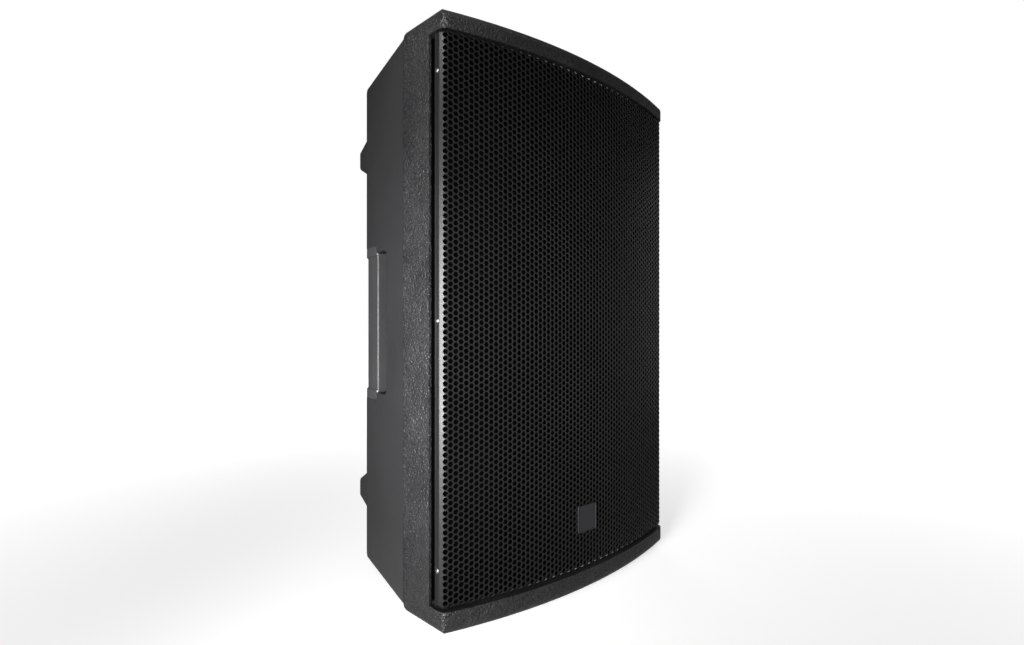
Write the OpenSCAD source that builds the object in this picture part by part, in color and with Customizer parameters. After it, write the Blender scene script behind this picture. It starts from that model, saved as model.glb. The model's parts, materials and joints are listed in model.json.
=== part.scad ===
// Active two-way loudspeaker: two moulded shells, a curved perforated steel grille, a 15-inch woofer,
// a horn with its compression driver, and an amplifier module in the back.
// Millimetres. +X is the width, +Y runs to the back and +Z is up. The origin is on the standing surface,
// in the middle of the width and of the depth.

/* [Cabinet] */
// Width across the parting line of the two shells
cab_w = 424; // [410:1:500]
// Height across the parting line, without the feet
cab_h = 700; // [670:1:820]
// Depth from the middle of the front to the tips of the rear bumpers
cab_d = 350; // [330:1:420]
// Wall thickness of both shells
wall = 5; // [4:0.5:6]
// Radius of the curved front, seen from above
front_r = 750; // [600:10:1500]
// Depth of the front shell's side, from the front corner to the parting line
front_side_d = 74; // [60:1:90]
// How far each side flares out from the front corner to the parting line
side_flare = 9.5; // [5:0.5:14]
// How far the top and the bottom flare out from the front corner to the parting line
top_flare = 0.5; // [0:0.5:8]
// Radius of the long edges between the sides and the top or bottom
long_edge_r = 14; // [10:1:20]
// Radius of the upright front corners
front_corner_r = 12; // [8:1:16]
// Radius of the front edge along the top
front_edge_r = 20; // [10:1:24]
// Radius of the front edge along the bottom
low_edge_r = 16; // [8:1:20]
// Height of the cap above the grille
cap_h = 27.5; // [20:0.5:40]
// Height of the cap below the grille
low_cap_h = 28.5; // [20:0.5:40]
// Thickness of the side walls' edges beside the grille
opening_rim_t = 2.8; // [2:0.1:4]
// Depth of the rear shell's side, from the parting line to its shoulder
rear_side_d = 149; // [130:1:180]
// How far each side of the rear shell tapers in over that depth
rear_taper = 19; // [10:0.5:30]
// How far the top and the bottom of the rear shell stand in from the front shell
seam_step = 3.5; // [0:0.5:4]
// How far the top and the bottom of the rear shell taper in over that depth
rear_top_taper = 1; // [0.5:0.5:12]
// Width of the flat back
back_w = 280; // [250:1:330]
// Height of the flat back
back_h = 630; // [600:1:760]
// Thickness of the gasket in the parting line
gasket_t = 1; // [0.8:0.1:2]

/* [Bumpers and feet] */
// How far the rear bumpers stand out behind the flat back
bumper_d = 15; // [10:1:25]
// Height of a bumper's outer edge above or below the middle of the cabinet
bumper_z = 277; // [240:1:290]
// Height of a bumper at its root
bumper_root_h = 60; // [45:1:75]
// Height of a bumper at its tip
bumper_tip_h = 24; // [20:1:34]
// Height of the rubber feet
foot_h = 4; // [3:0.5:8]
// Radius of the rubber feet
foot_r = 15; // [10:1:20]

/* [Grille] */
// How far the grille sits back from the caps' front
grille_recess = 2; // [1:0.5:4]
// Sheet thickness
sheet = 1.5; // [1.2:0.1:2]
// Spacing of the hexagonal holes along a column
hole_pitch = 28.7; // [25:0.1:50]
// Width of the metal left between two holes
hole_bar = 5.6; // [4:0.1:8]
// Radius of the rolled side edges
grille_bend_r = 5; // [4:0.5:6]
// Depth of the lip along the grille's top and bottom
grille_lip = 7; // [4:0.5:10]
// Gap between the grille and the cap above it
grille_gap = 1; // [0.5:0.1:2]
// Gap between the grille and the cap below it
grille_low_gap = 3.5; // [0.5:0.1:5]
// Thickness of the foam behind the grille
foam_t = 4; // [2:0.5:6]
// Side of the square badge plate
badge_side = 34; // [20:1:50]
// Thickness of the badge plate
badge_t = 1.5; // [1:0.1:2]
// Drop of the badge plate's middle below the middle of the cabinet
badge_drop = 254; // [200:1:270]

/* [Handles] */
// Distance of the handle slot behind the parting line
slot_start = 58; // [50:1:64]
// Width of the slot, front to back
slot_w = 46; // [40:1:52]
// Height of the slot
slot_h = 190; // [150:1:230]
// Height of the grip bar
bar_h = 213; // [205:1:260]
// Thickness of the grip bar
bar_t = 20; // [14:1:24]
// Height of each thicker end of the grip bar
bar_collar_h = 12.5; // [8:0.5:16]
// How far the grip is set back between the ends
grip_drop = 2; // [0.5:0.5:4]
// Depth of the hand pocket, from the middle of the cabinet to its inner wall
pocket_x = 145; // [135:1:155]
// Wall thickness of the hand pocket
cup_t = 3; // [2.5:0.5:4]
// Number of ribs on the lip of the slot
rib_count = 14; // [8:1:18]
// Spacing of the ribs
rib_pitch = 8; // [6:0.5:9]

/* [Woofer] */
// Radius of the woofer's mounting flange
woofer_r = 192; // [170:0.5:192]
// Radius of the hole in the baffle for the woofer
woofer_hole_r = 176; // [160:0.5:178]
// Radius of the voice coil
coil_r = 50; // [30:0.5:52]
// Radius of the magnet ring
magnet_r = 92; // [75:1:95]
// Thickness of the magnet ring
magnet_t = 24; // [15:1:30]
// Travel of the cone, each way from rest
cone_travel = 6; // [3:0.5:8]

/* [Horn] */
// Width of the horn's mounting flange
horn_w = 250; // [220:1:252]
// Height of the horn's mounting flange
horn_h = 200; // [160:1:200]
// Depth of the horn behind the baffle
horn_d = 105; // [80:1:120]
// Radius of the horn's throat
throat_r = 18; // [12.5:0.5:20]
// Radius of the compression driver
driver_r = 60; // [45:1:65]
// Inner radius of the port tubes
port_r = 25; // [18:0.5:25]
// Length of the port tubes
port_l = 110; // [60:1:140]

/* [Amplifier] */
// Width of the amplifier panel
panel_w = 212; // [200:1:230]
// Height of the amplifier panel
panel_h = 392; // [360:1:420]
// Drop of the panel's middle below the middle of the cabinet
panel_drop = 40; // [20:1:70]
// Depth of the recess that holds the panel
panel_recess = 8; // [7:0.5:10]
// Depth of the inner box in front of the panel
box_d = 78; // [60:1:90]
// Radius of the control knobs
knob_r = 9; // [7:0.5:11]

/* [Mounts] */
// Inner radius of the pole socket, for a 35 mm pole
pole_r = 17.8; // [17.6:0.1:18.5]
// Depth of the pole socket
pole_l = 80; // [60:1:100]
// Distance of the pole socket behind the middle of the depth
pole_y = -20; // [-30:1:0]
// Radius of the threaded rigging holes, for M10 screws
rigging_r = 4.25; // [3:0.05:6]
// Depth of the threaded rigging holes
rigging_l = 16; // [12:1:20]

/* [Hidden] */
$fn = 64;

// Cuts run this far past the faces that they open
past = 1;
// Play between moulded parts that stand face to face in a pocket
fit_gap = 0.2;
// Play between a moving part and what it slides in
moving_gap = 0.4;
// Play round a shaft that turns in a bore
shaft_gap = 0.06;
// Play between inner parts that seat against a moulded face
seat_gap = 0.1;
// Radius of a screw's way through a part, of the hole that it bites into and of its shaft
screw_way_r = 2.2;
screw_hole_r = 1.8;
screw_shaft_r = 1.7;
// How far the gasket lies inside the outer face of the rear shell
gasket_in = 1.5;

// Heights
mid_z = foot_h + cab_h / 2;
opening_half = cab_h / 2 - top_flare - cap_h;
opening_low = cab_h / 2 - top_flare - low_cap_h;

// Plan of the cabinet: y of each station along the depth
front_y = -cab_d / 2;
corner_x = cab_w / 2 - side_flare;
arc_centre = [0, front_y + front_r];
corner_y = arc_centre.y - sqrt(front_r ^ 2 - corner_x ^ 2);
seam_y = corner_y + front_side_d;
shoulder_y = seam_y + rear_side_d;
shoulder_x = cab_w / 2 - rear_taper;
shoulder_z = cab_h / 2 - seam_step - rear_top_taper;
back_y = cab_d / 2 - bumper_d;
flare_angle = atan(side_flare / front_side_d);
bevel_angle = atan((shoulder_x - back_w / 2) / (back_y - shoulder_y));
top_bevel_angle = atan((shoulder_z - back_h / 2) / (back_y - shoulder_y));

// Baffle: its plate is set back from the front of its rim, which carries the grille screws
rim_front = corner_y + 9;
rim_back = corner_y + 29;
baffle_y = corner_y + 12.5;
baffle_t = 6;
baffle_rim = 7;
side_rim_y = corner_y + 15;
side_rim_d = 8;
baffle_half = corner_x - 6.8;

// Grille
grille_r = front_r - grille_recess;
grille_top = opening_half - grille_gap;
grille_bottom = opening_low - grille_low_gap;
grille_half = (grille_top + grille_bottom) / 2;
grille_z = mid_z + (grille_top - grille_bottom) / 2;
flange_x = corner_x - 0.5;
flange_y = arc_centre.y - sqrt(grille_r ^ 2 - flange_x ^ 2);
joggle = 4.5;
tuck_x = flange_x - joggle;
column_pitch = hole_pitch * cos(30);
hex_r = (hole_pitch - hole_bar) / 2 / cos(30);
hole_columns = floor((flange_x - grille_bend_r - hex_r) / column_pitch);
hole_rows = floor((2 * grille_half - 6) / hole_pitch / 2) * 2;
grille_screw_z = [-bumper_z, 0, bumper_z];
grille_screw_y = corner_y + 12.5;

// Screws that join the shells, through posts behind the baffle: x and z from the middle of the cabinet
post_r = 7;
post_bore_r = 2.3;
post_y = seam_y + 45;
post_x = baffle_half - 13.7;
post_top = opening_half - 9;
post_low = -opening_low + 11.5;
post_places = [[post_x, post_low], [post_x, 98], [post_x, post_top], [80, post_top], [112, post_low - 4]];

// Handle slot, grip bar and pocket, on the right-hand side
slot_y = seam_y + slot_start;
bar_y = slot_y + slot_w;
bar_end_y = shoulder_y + 25;
slot_corner_r = 14;
cup_half = bar_h / 2 + 5;
bar_face_drop = 0.2;
bar_inner_r = 6;
rib_r = 2.6;
rib_base = 3;
rib_start = 20;
rib_pad_h = rib_count * rib_pitch;
handle_screw_z = (slot_h + bar_h) / 4;
handle_screw_y = bar_y + 24;

// Woofer
woofer_z = mid_z - opening_low + 2.5 + woofer_r;
woofer_gasket_t = 1.5;
woofer_flange_t = 5;
woofer_screw_r = (woofer_r + woofer_hole_r) / 2;
surround_r = woofer_hole_r - 2;
cone_r = surround_r - 18;
basket_base = -86;
base_t = 4;
top_plate_t = 9;
yoke_t = 10;
cone_neck = -36.5;
cone_t = 1.5;
gap_half = 2.4;
pole_piece_r = coil_r - gap_half;
plate_hole_r = coil_r + gap_half;
magnet_hole_r = coil_r + 12;
spider_h = -58;
spider_r = 86;

// Horn and compression driver
horn_z = mid_z + opening_half - 15 - horn_h / 2;
horn_wall = 3;
horn_screw_x = [-1, 0, 1] * (horn_w / 2 - 7);
horn_screw_z = [-1, 1] * (horn_h / 2 - 7);
horn_flange_t = 5;
throat_y = baffle_y + horn_d;
driver_plate_t = 10;
driver_magnet_t = 22;
driver_cap_d = 24;
driver_y = throat_y + driver_plate_t;
diaphragm_r = 30;
driver_hole_r = diaphragm_r + 6;
port_t = 3;
port_lip = 2;
port_x = baffle_half - baffle_rim - port_r - port_t - port_lip - 0.5;
port_places = [[port_x, horn_z + 38], [port_x, horn_z - 38]];

// Amplifier module
panel_z = mid_z - panel_drop;
panel_t = 3;
panel_lip = 12;
panel_y = back_y - panel_recess;
panel_gasket_t = 1;
ledge_y = panel_y - panel_gasket_t;
panel_screw_x = [-1, 1] * (panel_w - panel_lip) / 2;
panel_screw_z = [for (k = [-1.5 : 1.5]) panel_z + k * (panel_h - panel_lip) / 3];
panel_face = panel_y + panel_t;
box_t = 1.5;
box_w = panel_w - 2 * panel_lip - 6;
box_h = panel_h - 2 * panel_lip - 6;
fin_d = bumper_d + panel_recess - panel_t - 4;
fin_t = 2.4;
fin_pitch = 11;
sink_half_w = panel_w / 2 - 16;
sink_half_h = 70;
sink_base_t = 4;
fins = floor((sink_half_w - fin_t / 2) / fin_pitch);
sink_z = panel_z + panel_h / 2 - 92;
knob_z = panel_z - 20;
knob_d = 12;
jack_z = panel_z - 75;
jack_x = [-1, 0, 1] * (panel_w / 2 - 46);
latch_x = [jack_x[0], jack_x[1]];
latch_up = 12;
latch_w = 7;
jack_r = 11.8;
power_z = panel_z - 150;
inlet_x = -panel_w / 2 + 56;
switch_x = panel_w / 2 - 56;
inlet_size = [27.5, 33.5];
switch_size = [19.5, 27.5];
fuse_size = [22, 8];
fuse_drop = 10;
rocker_y = panel_face - 2;
rocker_tilt = 8;
pivot_r = 1.5;
button_x = panel_w / 2 - 24;
button_r = 4;
knob_pitch = (button_x - button_r - knob_r - 3) / 1.5;
button_back = 6;
button_out = 5;
lamp_x = [20 - panel_w / 2, 28 - panel_w / 2];
lamp_z = knob_z + 14;
lamp_r = 2.5;
pot_neck_r = 4;

// Feet, pole socket and rigging points
foot_x = 150;
foot_places_y = [corner_y + 35, shoulder_y - 30];
foot_sink = 1.5;
foot_peg_r = 4;
socket_side = 80;
socket_t = 3;
socket_pad = socket_side / 2 + 6;
socket_wall = 4;
socket_z = mid_z - rear_half_h(pole_y + socket_side / 2);
socket_screw = socket_side / 2 - 8;
insert_r = 9;
insert_l = rigging_l + 2;
insert_sink = 0.5;
insert_play = 0.05;
rigging_top = [120, seam_y + 76];
rigging_z = mid_z + rear_half_h(rigging_top.y) - insert_sink;
rigging_back_z = panel_z + panel_h / 2 + 80;

// Points of a circular arc of radius r round c, from angle a0 to a1
function arc(c, r, a0, a1, n = 5) =
  [for (i = [0 : n]) let (a = a0 + (a1 - a0) * i / n) c + r * [cos(a), sin(a)]];
function unit(v) = v / norm(v);
// Points of the fillet of radius r at corner p, between its neighbours a and b
function fillet(a, p, b, r, n) = r == 0 ? [p] :
  let (u = unit(a - p), v = unit(b - p), half = acos(u * v) / 2, c = p + unit(u + v) * r / sin(half),
    s = p + u * r / tan(half) - c, e = p + v * r / tan(half) - c, from = atan2(s.y, s.x))
  arc(c, r, from, from + atan2(s.x * e.y - s.y * e.x, s * e), n);
// Outline with each corner rounded, by one radius or by a list of them
function rounded(points, r, n = 5) = let (k = len(points))
  [for (i = [0 : k - 1])
    each fillet(points[(i + k - 1) % k], points[i], points[(i + 1) % k], is_list(r) ? r[i] : r, n)];
function box_points(w, h) = [[-w, -h], [w, -h], [w, h], [-w, h]] / 2;

// Half width and half height of the front shell at y, on its flaring sides
function front_half_w(y) = cab_w / 2 - side_flare * (seam_y - y) / front_side_d;
function front_half_h(y) = cab_h / 2 - top_flare * (seam_y - y) / front_side_d;
// Outer x of the rear shell at y, along the side and then along the bevel to the flat back
function side_x(y) = cab_w / 2 - rear_taper * (y - seam_y) / rear_side_d;
function rear_half_h(y) = cab_h / 2 - seam_step - rear_top_taper * (y - seam_y) / rear_side_d;
// Thickness of the rear shell's top and bottom walls at y
function rear_wall_t(y) = wall + (wall / cos(top_bevel_angle) - wall) * (y - seam_y) / rear_side_d;
// Inner x of the rear shell's wall at y, less the play of what seats against it
function inner_x(y) = (y > shoulder_y ? bevel_x(y) - wall / cos(bevel_angle) :
  cab_w / 2 - wall - (rear_taper - wall + wall / cos(bevel_angle)) * (y - seam_y) / rear_side_d) - seat_gap;
function bevel_z(y) = shoulder_z - (shoulder_z - back_h / 2) * (y - shoulder_y) / (back_y - shoulder_y);
function bevel_x(y) = shoulder_x - (shoulder_x - back_w / 2) * (y - shoulder_y) / (back_y - shoulder_y);

// Extrusions of an outline in YZ along X, and of one in XZ along Y
module along_x(x0, x1) translate([x0, 0, 0]) rotate([90, 0, 90]) linear_extrude(x1 - x0) children();
module along_y(y0, y1) translate([0, y1, 0]) rotate([90, 0, 0]) linear_extrude(y1 - y0) children();
// Turns the local +Z axis to the front, to the back or to the right
module to_front(p) translate(p) rotate([90, 0, 0]) children();
module to_back(p) translate(p) rotate([-90, 0, 0]) children();
module to_right(p) translate(p) rotate([0, 90, 0]) children();
module to_left(p) translate(p) rotate([0, -90, 0]) children();
module both_sides() {
  children();
  mirror([1, 0, 0]) children();
}
module block(x0, x1, y0, y1, z0, z1) translate([x0, y0, z0]) cube([x1 - x0, y1 - y0, z1 - z0]);
module ring(r_out, r_in, h) difference() {
  cylinder(r = r_out, h = h);
  translate([0, 0, -past]) cylinder(r = r_in, h = h + 2 * past);
}
// Pan-head screw with its head's underside at z = 0
module screw(shaft_r, length, head_r, head_h) rotate_extrude()
  polygon([[0, -length], [shaft_r - 0.5, -length], [shaft_r, -length + 1], [shaft_r, 0], [head_r, 0],
    [head_r, head_h * 0.5], [head_r * 0.7, head_h], [head_r * 0.35, head_h],
    [head_r * 0.35, head_h * 0.4], [0, head_h * 0.4]]);

// ---- Shells ----

module section(y0, half_w, half_h, r) translate([0, 0, mid_z]) along_y(y0, y0 + 0.1)
  polygon(rounded(box_points(2 * half_w, 2 * half_h), r, 4));

// Plan of the front shell, drawn past the curved front, with its upright corners rounded
function front_plan(inset) =
  let (out = [cos(flare_angle), -sin(flare_angle)], back = [sin(flare_angle), cos(flare_angle)],
    q = [corner_x, corner_y] - front_corner_r * out - arc_centre, rho = front_r - front_corner_r,
    c = q - (q * back + sqrt((q * back) ^ 2 - q * q + rho ^ 2)) * back + arc_centre,
    end = atan2(c.y - arc_centre.y, c.x - arc_centre.x),
    a = arc(c, front_corner_r - inset, -flare_angle, end),
    right = concat([[cab_w / 2 - inset / cos(flare_angle) + 5 * tan(flare_angle), seam_y + 5]],
      [for (i = [0 : 4]) a[i]], [a[4] + 4 * (a[5] - a[4])]))
  concat(right, [[0, front_y - 30]], [for (i = [len(right) - 1 : -1 : 0]) [-right[i].x, right[i].y]]);

module front_drum(inset) {
  r = front_r - inset;
  top_r = front_edge_r - inset;
  low_r = low_edge_r - inset;
  h = front_half_h(front_y) + 0.8 - inset;
  translate([0, arc_centre.y, mid_z]) rotate_extrude($fn = 128)
    polygon(concat([[0, -h - 40], [r - 250, -h - 40]], arc([r - low_r, -h + low_r], low_r, -90, 0),
      arc([r - top_r, h - top_r], top_r, 0, 90), [[r - 250, h + 40], [0, h + 40]]));
}

module front_form(inset, end_y) intersection() {
  hull() {
    section(front_y - 5, front_half_w(front_y - 5) - inset, front_half_h(front_y - 5) - inset,
      long_edge_r - inset);
    section(end_y - 0.1, front_half_w(end_y) - inset, front_half_h(end_y) - inset, long_edge_r - inset);
  }
  front_drum(inset);
  linear_extrude(cab_h + 2 * foot_h) polygon(front_plan(inset));
}

module front_shell() color("#2b2b2b") {
  end_y = seam_y - gasket_t / 2;
  difference() {
    union() {
      difference() {
        front_form(0, end_y);
        front_form(wall, end_y + past);
        block(-cab_w, cab_w, front_y - 10, side_rim_y, mid_z - opening_low, mid_z + opening_half);
        // Thinner edges of the side walls beside the grille
        intersection() {
          front_form(opening_rim_t, end_y);
          block(-cab_w, cab_w, side_rim_y - past, side_rim_y + side_rim_d, mid_z - opening_low,
            mid_z + opening_half);
        }
      }
      // Floors of the hollow caps
      for (z = [-opening_low - wall, opening_half]) intersection() {
        front_form(wall - 1, end_y);
        block(-cab_w, cab_w, front_y - 10, baffle_y + baffle_t, mid_z + z, mid_z + z + wall);
      }
      block(-baffle_half, baffle_half, baffle_y, baffle_y + baffle_t, mid_z - opening_half - past,
        mid_z + opening_half + past);
      // Deep rim of the baffle, and the shelf that ties it to the side wall
      both_sides() {
        block(baffle_half - baffle_rim, baffle_half, rim_front, rim_back,
          mid_z - opening_half - past, mid_z + opening_half + past);
        block(baffle_half - 1, front_half_w(rim_back) - 2, rim_back - wall, rim_back,
          mid_z - opening_half - past, mid_z + opening_half + past);
        for (p = post_places) to_back([p.x, baffle_y, mid_z + p.y])
          cylinder(r = post_r, h = end_y - baffle_y);
      }
      // Ribs that stiffen the baffle between the woofer and the horn
      for (z = [woofer_z + woofer_r + 8, horn_z - horn_h / 2 - 8])
        block(-baffle_half + 2, baffle_half - 2, baffle_y + 2, rim_back, z - 2, z + 2);
    }
    // Hole for the woofer, and room for its flange between the two rims
    to_front([0, rim_back + past, woofer_z])
      cylinder(r = woofer_hole_r, h = rim_back - rim_front + 2 * past);
    to_front([0, baffle_y, woofer_z]) cylinder(r = woofer_r + 0.5, h = baffle_y - rim_front + past);
    along_y(baffle_y - past, baffle_y + baffle_t + past) translate([0, horn_z])
      polygon(rounded(box_points(horn_w - 24, horn_h - 24), 5));
    both_sides() {
      for (p = port_places) to_back([p.x, baffle_y - past, p.y])
        cylinder(r = port_r + port_t, h = baffle_t + 2 * past);
      for (p = post_places) to_back([p.x, baffle_y - past, mid_z + p.y])
        cylinder(r = post_bore_r, h = end_y - baffle_y + 2 * past);
      for (z = grille_screw_z) to_right([baffle_half - baffle_rim - past, grille_screw_y, mid_z + z])
        cylinder(r = 1.5, h = baffle_rim + 2 * past);
      translate([foot_x, foot_places_y[0], 0]) foot_cut(mid_z - front_half_h(foot_places_y[0]));
    }
    to_back([0, baffle_y - past, woofer_z]) woofer_screw_ring()
      cylinder(r = screw_hole_r, h = baffle_t + 2 * past);
    for (x = horn_screw_x, z = horn_screw_z) to_back([x, baffle_y - past, horn_z + z])
      cylinder(r = screw_hole_r, h = baffle_t + 2 * past);
  }
}

module rear_form(inset) {
  start_y = seam_y + gasket_t / 2 - (inset > 0 ? past : 0);
  r = long_edge_r - inset;
  side_in = inset / cos(bevel_angle);
  top_in = inset / cos(top_bevel_angle);
  hull() {
    section(start_y, side_x(start_y) - inset, rear_half_h(start_y) - inset, r);
    section(shoulder_y - 0.1, shoulder_x - side_in, shoulder_z - top_in, r);
  }
  hull() {
    section(shoulder_y - 0.1, shoulder_x - side_in, shoulder_z - top_in, r);
    section(back_y - inset - 0.1, bevel_x(back_y - inset) - side_in, bevel_z(back_y - inset) - top_in, r);
  }
}

// One bumper behind the upper right corner, cut out of its plan and its side view
module bumper() {
  root_y = shoulder_y + 19;
  tip_y = cab_d / 2;
  tip_x = shoulder_x - 31;
  intersection() {
    linear_extrude(cab_h) polygon(rounded([[bevel_x(root_y), root_y], [tip_x, tip_y], [tip_x - 14, tip_y],
      [tip_x - 22, back_y - 3], [bevel_x(root_y + 40) - 3, root_y + 40], [bevel_x(root_y) - 3, root_y]],
      [0, 5, 5, 0, 0, 0]));
    translate([0, 0, mid_z]) along_x(100, cab_w / 2) polygon(rounded([[root_y - 5, bumper_z],
      [tip_y, bumper_z - 1], [tip_y, bumper_z - 1 - bumper_tip_h], [root_y - 5, bumper_z - bumper_root_h]],
      [0, 6, 20, 0]));
  }
}

// Plan of the grip bar: its outer side continues the side of the shell and turns along the bevel
function bar_plan(grow) =
  let (face = bar_face_drop - grow, inner = bar_t + grow)
  [[side_x(bar_y) - face, bar_y - grow], [shoulder_x - face, shoulder_y],
    [bevel_x(bar_end_y) - face, bar_end_y + grow], [bevel_x(bar_end_y) - inner, bar_end_y + grow],
    [shoulder_x - inner, shoulder_y - 4], [side_x(bar_y) - inner, bar_y - grow]];

module rear_shell() color("#333333") difference() {
  union() {
    difference() {
      rear_form(0);
      rear_form(wall);
    }
    both_sides() {
      translate([0, 0, mid_z]) for (s = [0, 1]) mirror([0, 0, s]) translate([0, 0, -mid_z]) bumper();
      // Bosses for the shell screws, each tied to the nearest wall by a rib
      for (p = post_places) {
        to_back([p.x, seam_y + gasket_t / 2, mid_z + p.y]) cylinder(r = post_r, h = post_y - seam_y);
        if (p.x == post_x) block(p.x + 3, side_x(post_y) - 2, seam_y + gasket_t / 2, post_y - past,
          mid_z + p.y - 2, mid_z + p.y + 2);
        if (p.x != post_x) block(p.x - 2, p.x + 2, seam_y + gasket_t / 2, post_y - past,
          mid_z + (p.y > 0 ? p.y + 3 : 3 - rear_half_h(post_y)),
          mid_z + (p.y > 0 ? rear_half_h(post_y) - 3 : p.y - 3));
      }
    }
    // Recessed frame round the amplifier opening
    along_y(ledge_y - wall, back_y - past) translate([0, panel_z])
      polygon(rounded(box_points(panel_w + 2 * wall, panel_h + 2 * wall), 8));
    // Pad over the pole socket's flange
    block(-socket_pad, socket_pad, pole_y - socket_pad, pole_y + socket_pad, socket_z + 2,
      socket_z + socket_t + wall);
    // Bosses for the rigging inserts
    for (x = [-1, 1] * rigging_top.x) translate([x, rigging_top.y, rigging_z - insert_l])
      cylinder(r = insert_r + 4, h = insert_l - 2);
    to_back([0, back_y - insert_l - insert_sink, rigging_back_z])
      cylinder(r = insert_r + 4, h = insert_l - 2);
  }
  // Seat of the amplifier panel and the opening behind it
  along_y(ledge_y, back_y + past) translate([0, panel_z])
    polygon(rounded(box_points(panel_w + 2 * fit_gap, panel_h + 2 * fit_gap), 5));
  along_y(ledge_y - wall - past, ledge_y + past) translate([0, panel_z])
    polygon(rounded(box_points(panel_w - 2 * panel_lip, panel_h - 2 * panel_lip), 4));
  for (x = panel_screw_x, z = panel_screw_z) to_back([x, ledge_y - wall - past, z])
    cylinder(r = 1.6, h = wall + 3 * past);
  both_sides() {
    // Handle slot, and the notch for the grip bar behind it
    translate([0, 0, mid_z]) along_x(pocket_x + 10, cab_w / 2 + 10)
      polygon(rounded([[slot_y, -slot_h / 2], [bar_y + past, -slot_h / 2], [bar_y + past, slot_h / 2],
        [slot_y, slot_h / 2]], [slot_corner_r, 0, 0, slot_corner_r]));
    translate([0, 0, mid_z - bar_h / 2 - fit_gap]) linear_extrude(bar_h + 2 * fit_gap)
      polygon([[cab_w / 2 + 10, bar_y - fit_gap], [cab_w / 2 + 10, bar_end_y + fit_gap],
        [bevel_x(bar_end_y) - bar_t, bar_end_y + fit_gap], [bevel_x(bar_end_y) - bar_t, bar_y - fit_gap]]);
    for (p = post_places) to_back([p.x, seam_y, mid_z + p.y])
      cylinder(r = post_bore_r - 0.4, h = post_y - seam_y - 5);
    translate([foot_x, foot_places_y[1], 0]) foot_cut(mid_z - rear_half_h(foot_places_y[1]));
    translate([rigging_top.x, rigging_top.y, rigging_z - insert_l]) insert_cut();
  }
  to_back([0, back_y - insert_sink - insert_l, rigging_back_z]) insert_cut();
  // Pole socket: its flange lies in a flat pocket and its tube passes the wall
  translate([0, pole_y, 0]) linear_extrude(socket_z + socket_t)
    polygon(rounded(box_points(socket_side + 2 * fit_gap, socket_side + 2 * fit_gap), 10));
  translate([0, pole_y, foot_h]) cylinder(r = pole_r + socket_wall + fit_gap, h = 30);
  for (x = [-1, 1], y = [-1, 1]) translate([socket_screw * x, pole_y + socket_screw * y, foot_h])
    cylinder(r = 1.95, h = 30);
}

// Pocket that holds a rigging insert, open past the shell's outer face
module insert_cut() cylinder(r = insert_r + insert_play, h = insert_l + 5);

// Pocket and peg hole of a rubber foot under a wall whose outer face is at wall_z
module foot_cut(wall_z) {
  cylinder(r = foot_r + fit_gap, h = wall_z + foot_sink);
  cylinder(r = foot_peg_r + 0.1, h = wall_z + wall + 10);
}

module shell_gasket() color("#111111") along_y(seam_y - gasket_t / 2, seam_y + gasket_t / 2)
  translate([0, mid_z]) difference() {
    gasket_outline(gasket_in);
    gasket_outline(wall);
  }

module gasket_outline(inset)
  polygon(rounded(box_points(cab_w - 2 * inset, cab_h - 2 * (seam_step + inset)), long_edge_r - inset, 4));

module shell_screws() color("#8a8a8a") both_sides() for (p = post_places)
  to_front([p.x, baffle_y, mid_z + p.y]) screw(1.9, post_y - baffle_y - 6, 4.5, 2.5);

// ---- Grille and badge ----

// Side flange in plan: front strip, rolled edge, then a step inward to the strip that takes the screws
function flange_plan() =
  let (start = flange_x - 12, front = arc_centre.y - sqrt(grille_r ^ 2 - start ^ 2),
    end_y = grille_screw_y + 7.5,
    step_y = flange_y + grille_bend_r + 0.3)
  concat([[start, front]], fillet([start, front], [flange_x, flange_y], [flange_x, 0], grille_bend_r, 5),
    [[flange_x, step_y], [tuck_x, step_y + 2.5], [tuck_x, end_y], [tuck_x - sheet, end_y],
      [tuck_x - sheet, step_y + 1.5], [flange_x - sheet, step_y - 1]],
    fillet([flange_x - sheet, 0], [flange_x - sheet, flange_y + sheet * 0.75], [start, front + sheet],
      grille_bend_r - sheet, 5),
    [[start, front + sheet]]);

module curved_sheet(r, t, half_w, half_h) intersection() {
  translate([0, arc_centre.y, grille_z - half_h]) difference() {
    cylinder(r = r, h = 2 * half_h, $fn = 128);
    translate([0, 0, -past]) cylinder(r = r - t, h = 2 * half_h + 2 * past, $fn = 128);
  }
  block(-half_w, half_w, front_y - past, 0, mid_z - cab_h / 2, mid_z + cab_h / 2);
}

module grille() color("#1d1d1d") difference() {
  union() {
    curved_sheet(grille_r, sheet, flange_x - 11.5, grille_half);
    for (s = [-1, 1]) translate([0, 0, s * (grille_half - sheet / 2)])
      curved_sheet(grille_r - 0.2, grille_lip, flange_x - grille_bend_r, sheet / 2);
    both_sides() translate([0, 0, grille_z - grille_half]) linear_extrude(2 * grille_half)
      polygon(flange_plan());
  }
  // Staggered columns of hexagonal holes
  translate([0, 0, grille_z]) along_y(front_y - past, flange_y + 1.2)
    for (c = [-hole_columns : hole_columns]) let (n = hole_rows - abs(c % 2)) for (k = [0 : n - 1])
      translate([c * column_pitch, (k - (n - 1) / 2) * hole_pitch]) circle(r = hex_r, $fn = 6);
  both_sides() for (z = grille_screw_z) to_right([tuck_x - sheet - past, grille_screw_y, mid_z + z])
    cylinder(r = 1.7, h = sheet + 2 * past);
}

module grille_foam() color("#0a0a0a")
  curved_sheet(grille_r - sheet - 0.3, foam_t, flange_x - sheet - 4, grille_half - sheet - 0.3);

module grille_screws() color("#b0b0b0") both_sides() for (z = grille_screw_z)
  to_right([tuck_x, grille_screw_y, mid_z + z]) screw(1.4, 8.5, 2.7, 1.6);

module badge_plate() color("#2f2f31") intersection() {
  translate([0, 0, mid_z - badge_drop]) along_y(front_y - past, front_y + grille_recess + past)
    polygon(rounded(box_points(badge_side, badge_side), 2));
  curved_sheet(grille_r + badge_t + 0.05, badge_t, badge_side, grille_half);
}

// ---- Handles, on the right-hand side ----

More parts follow.
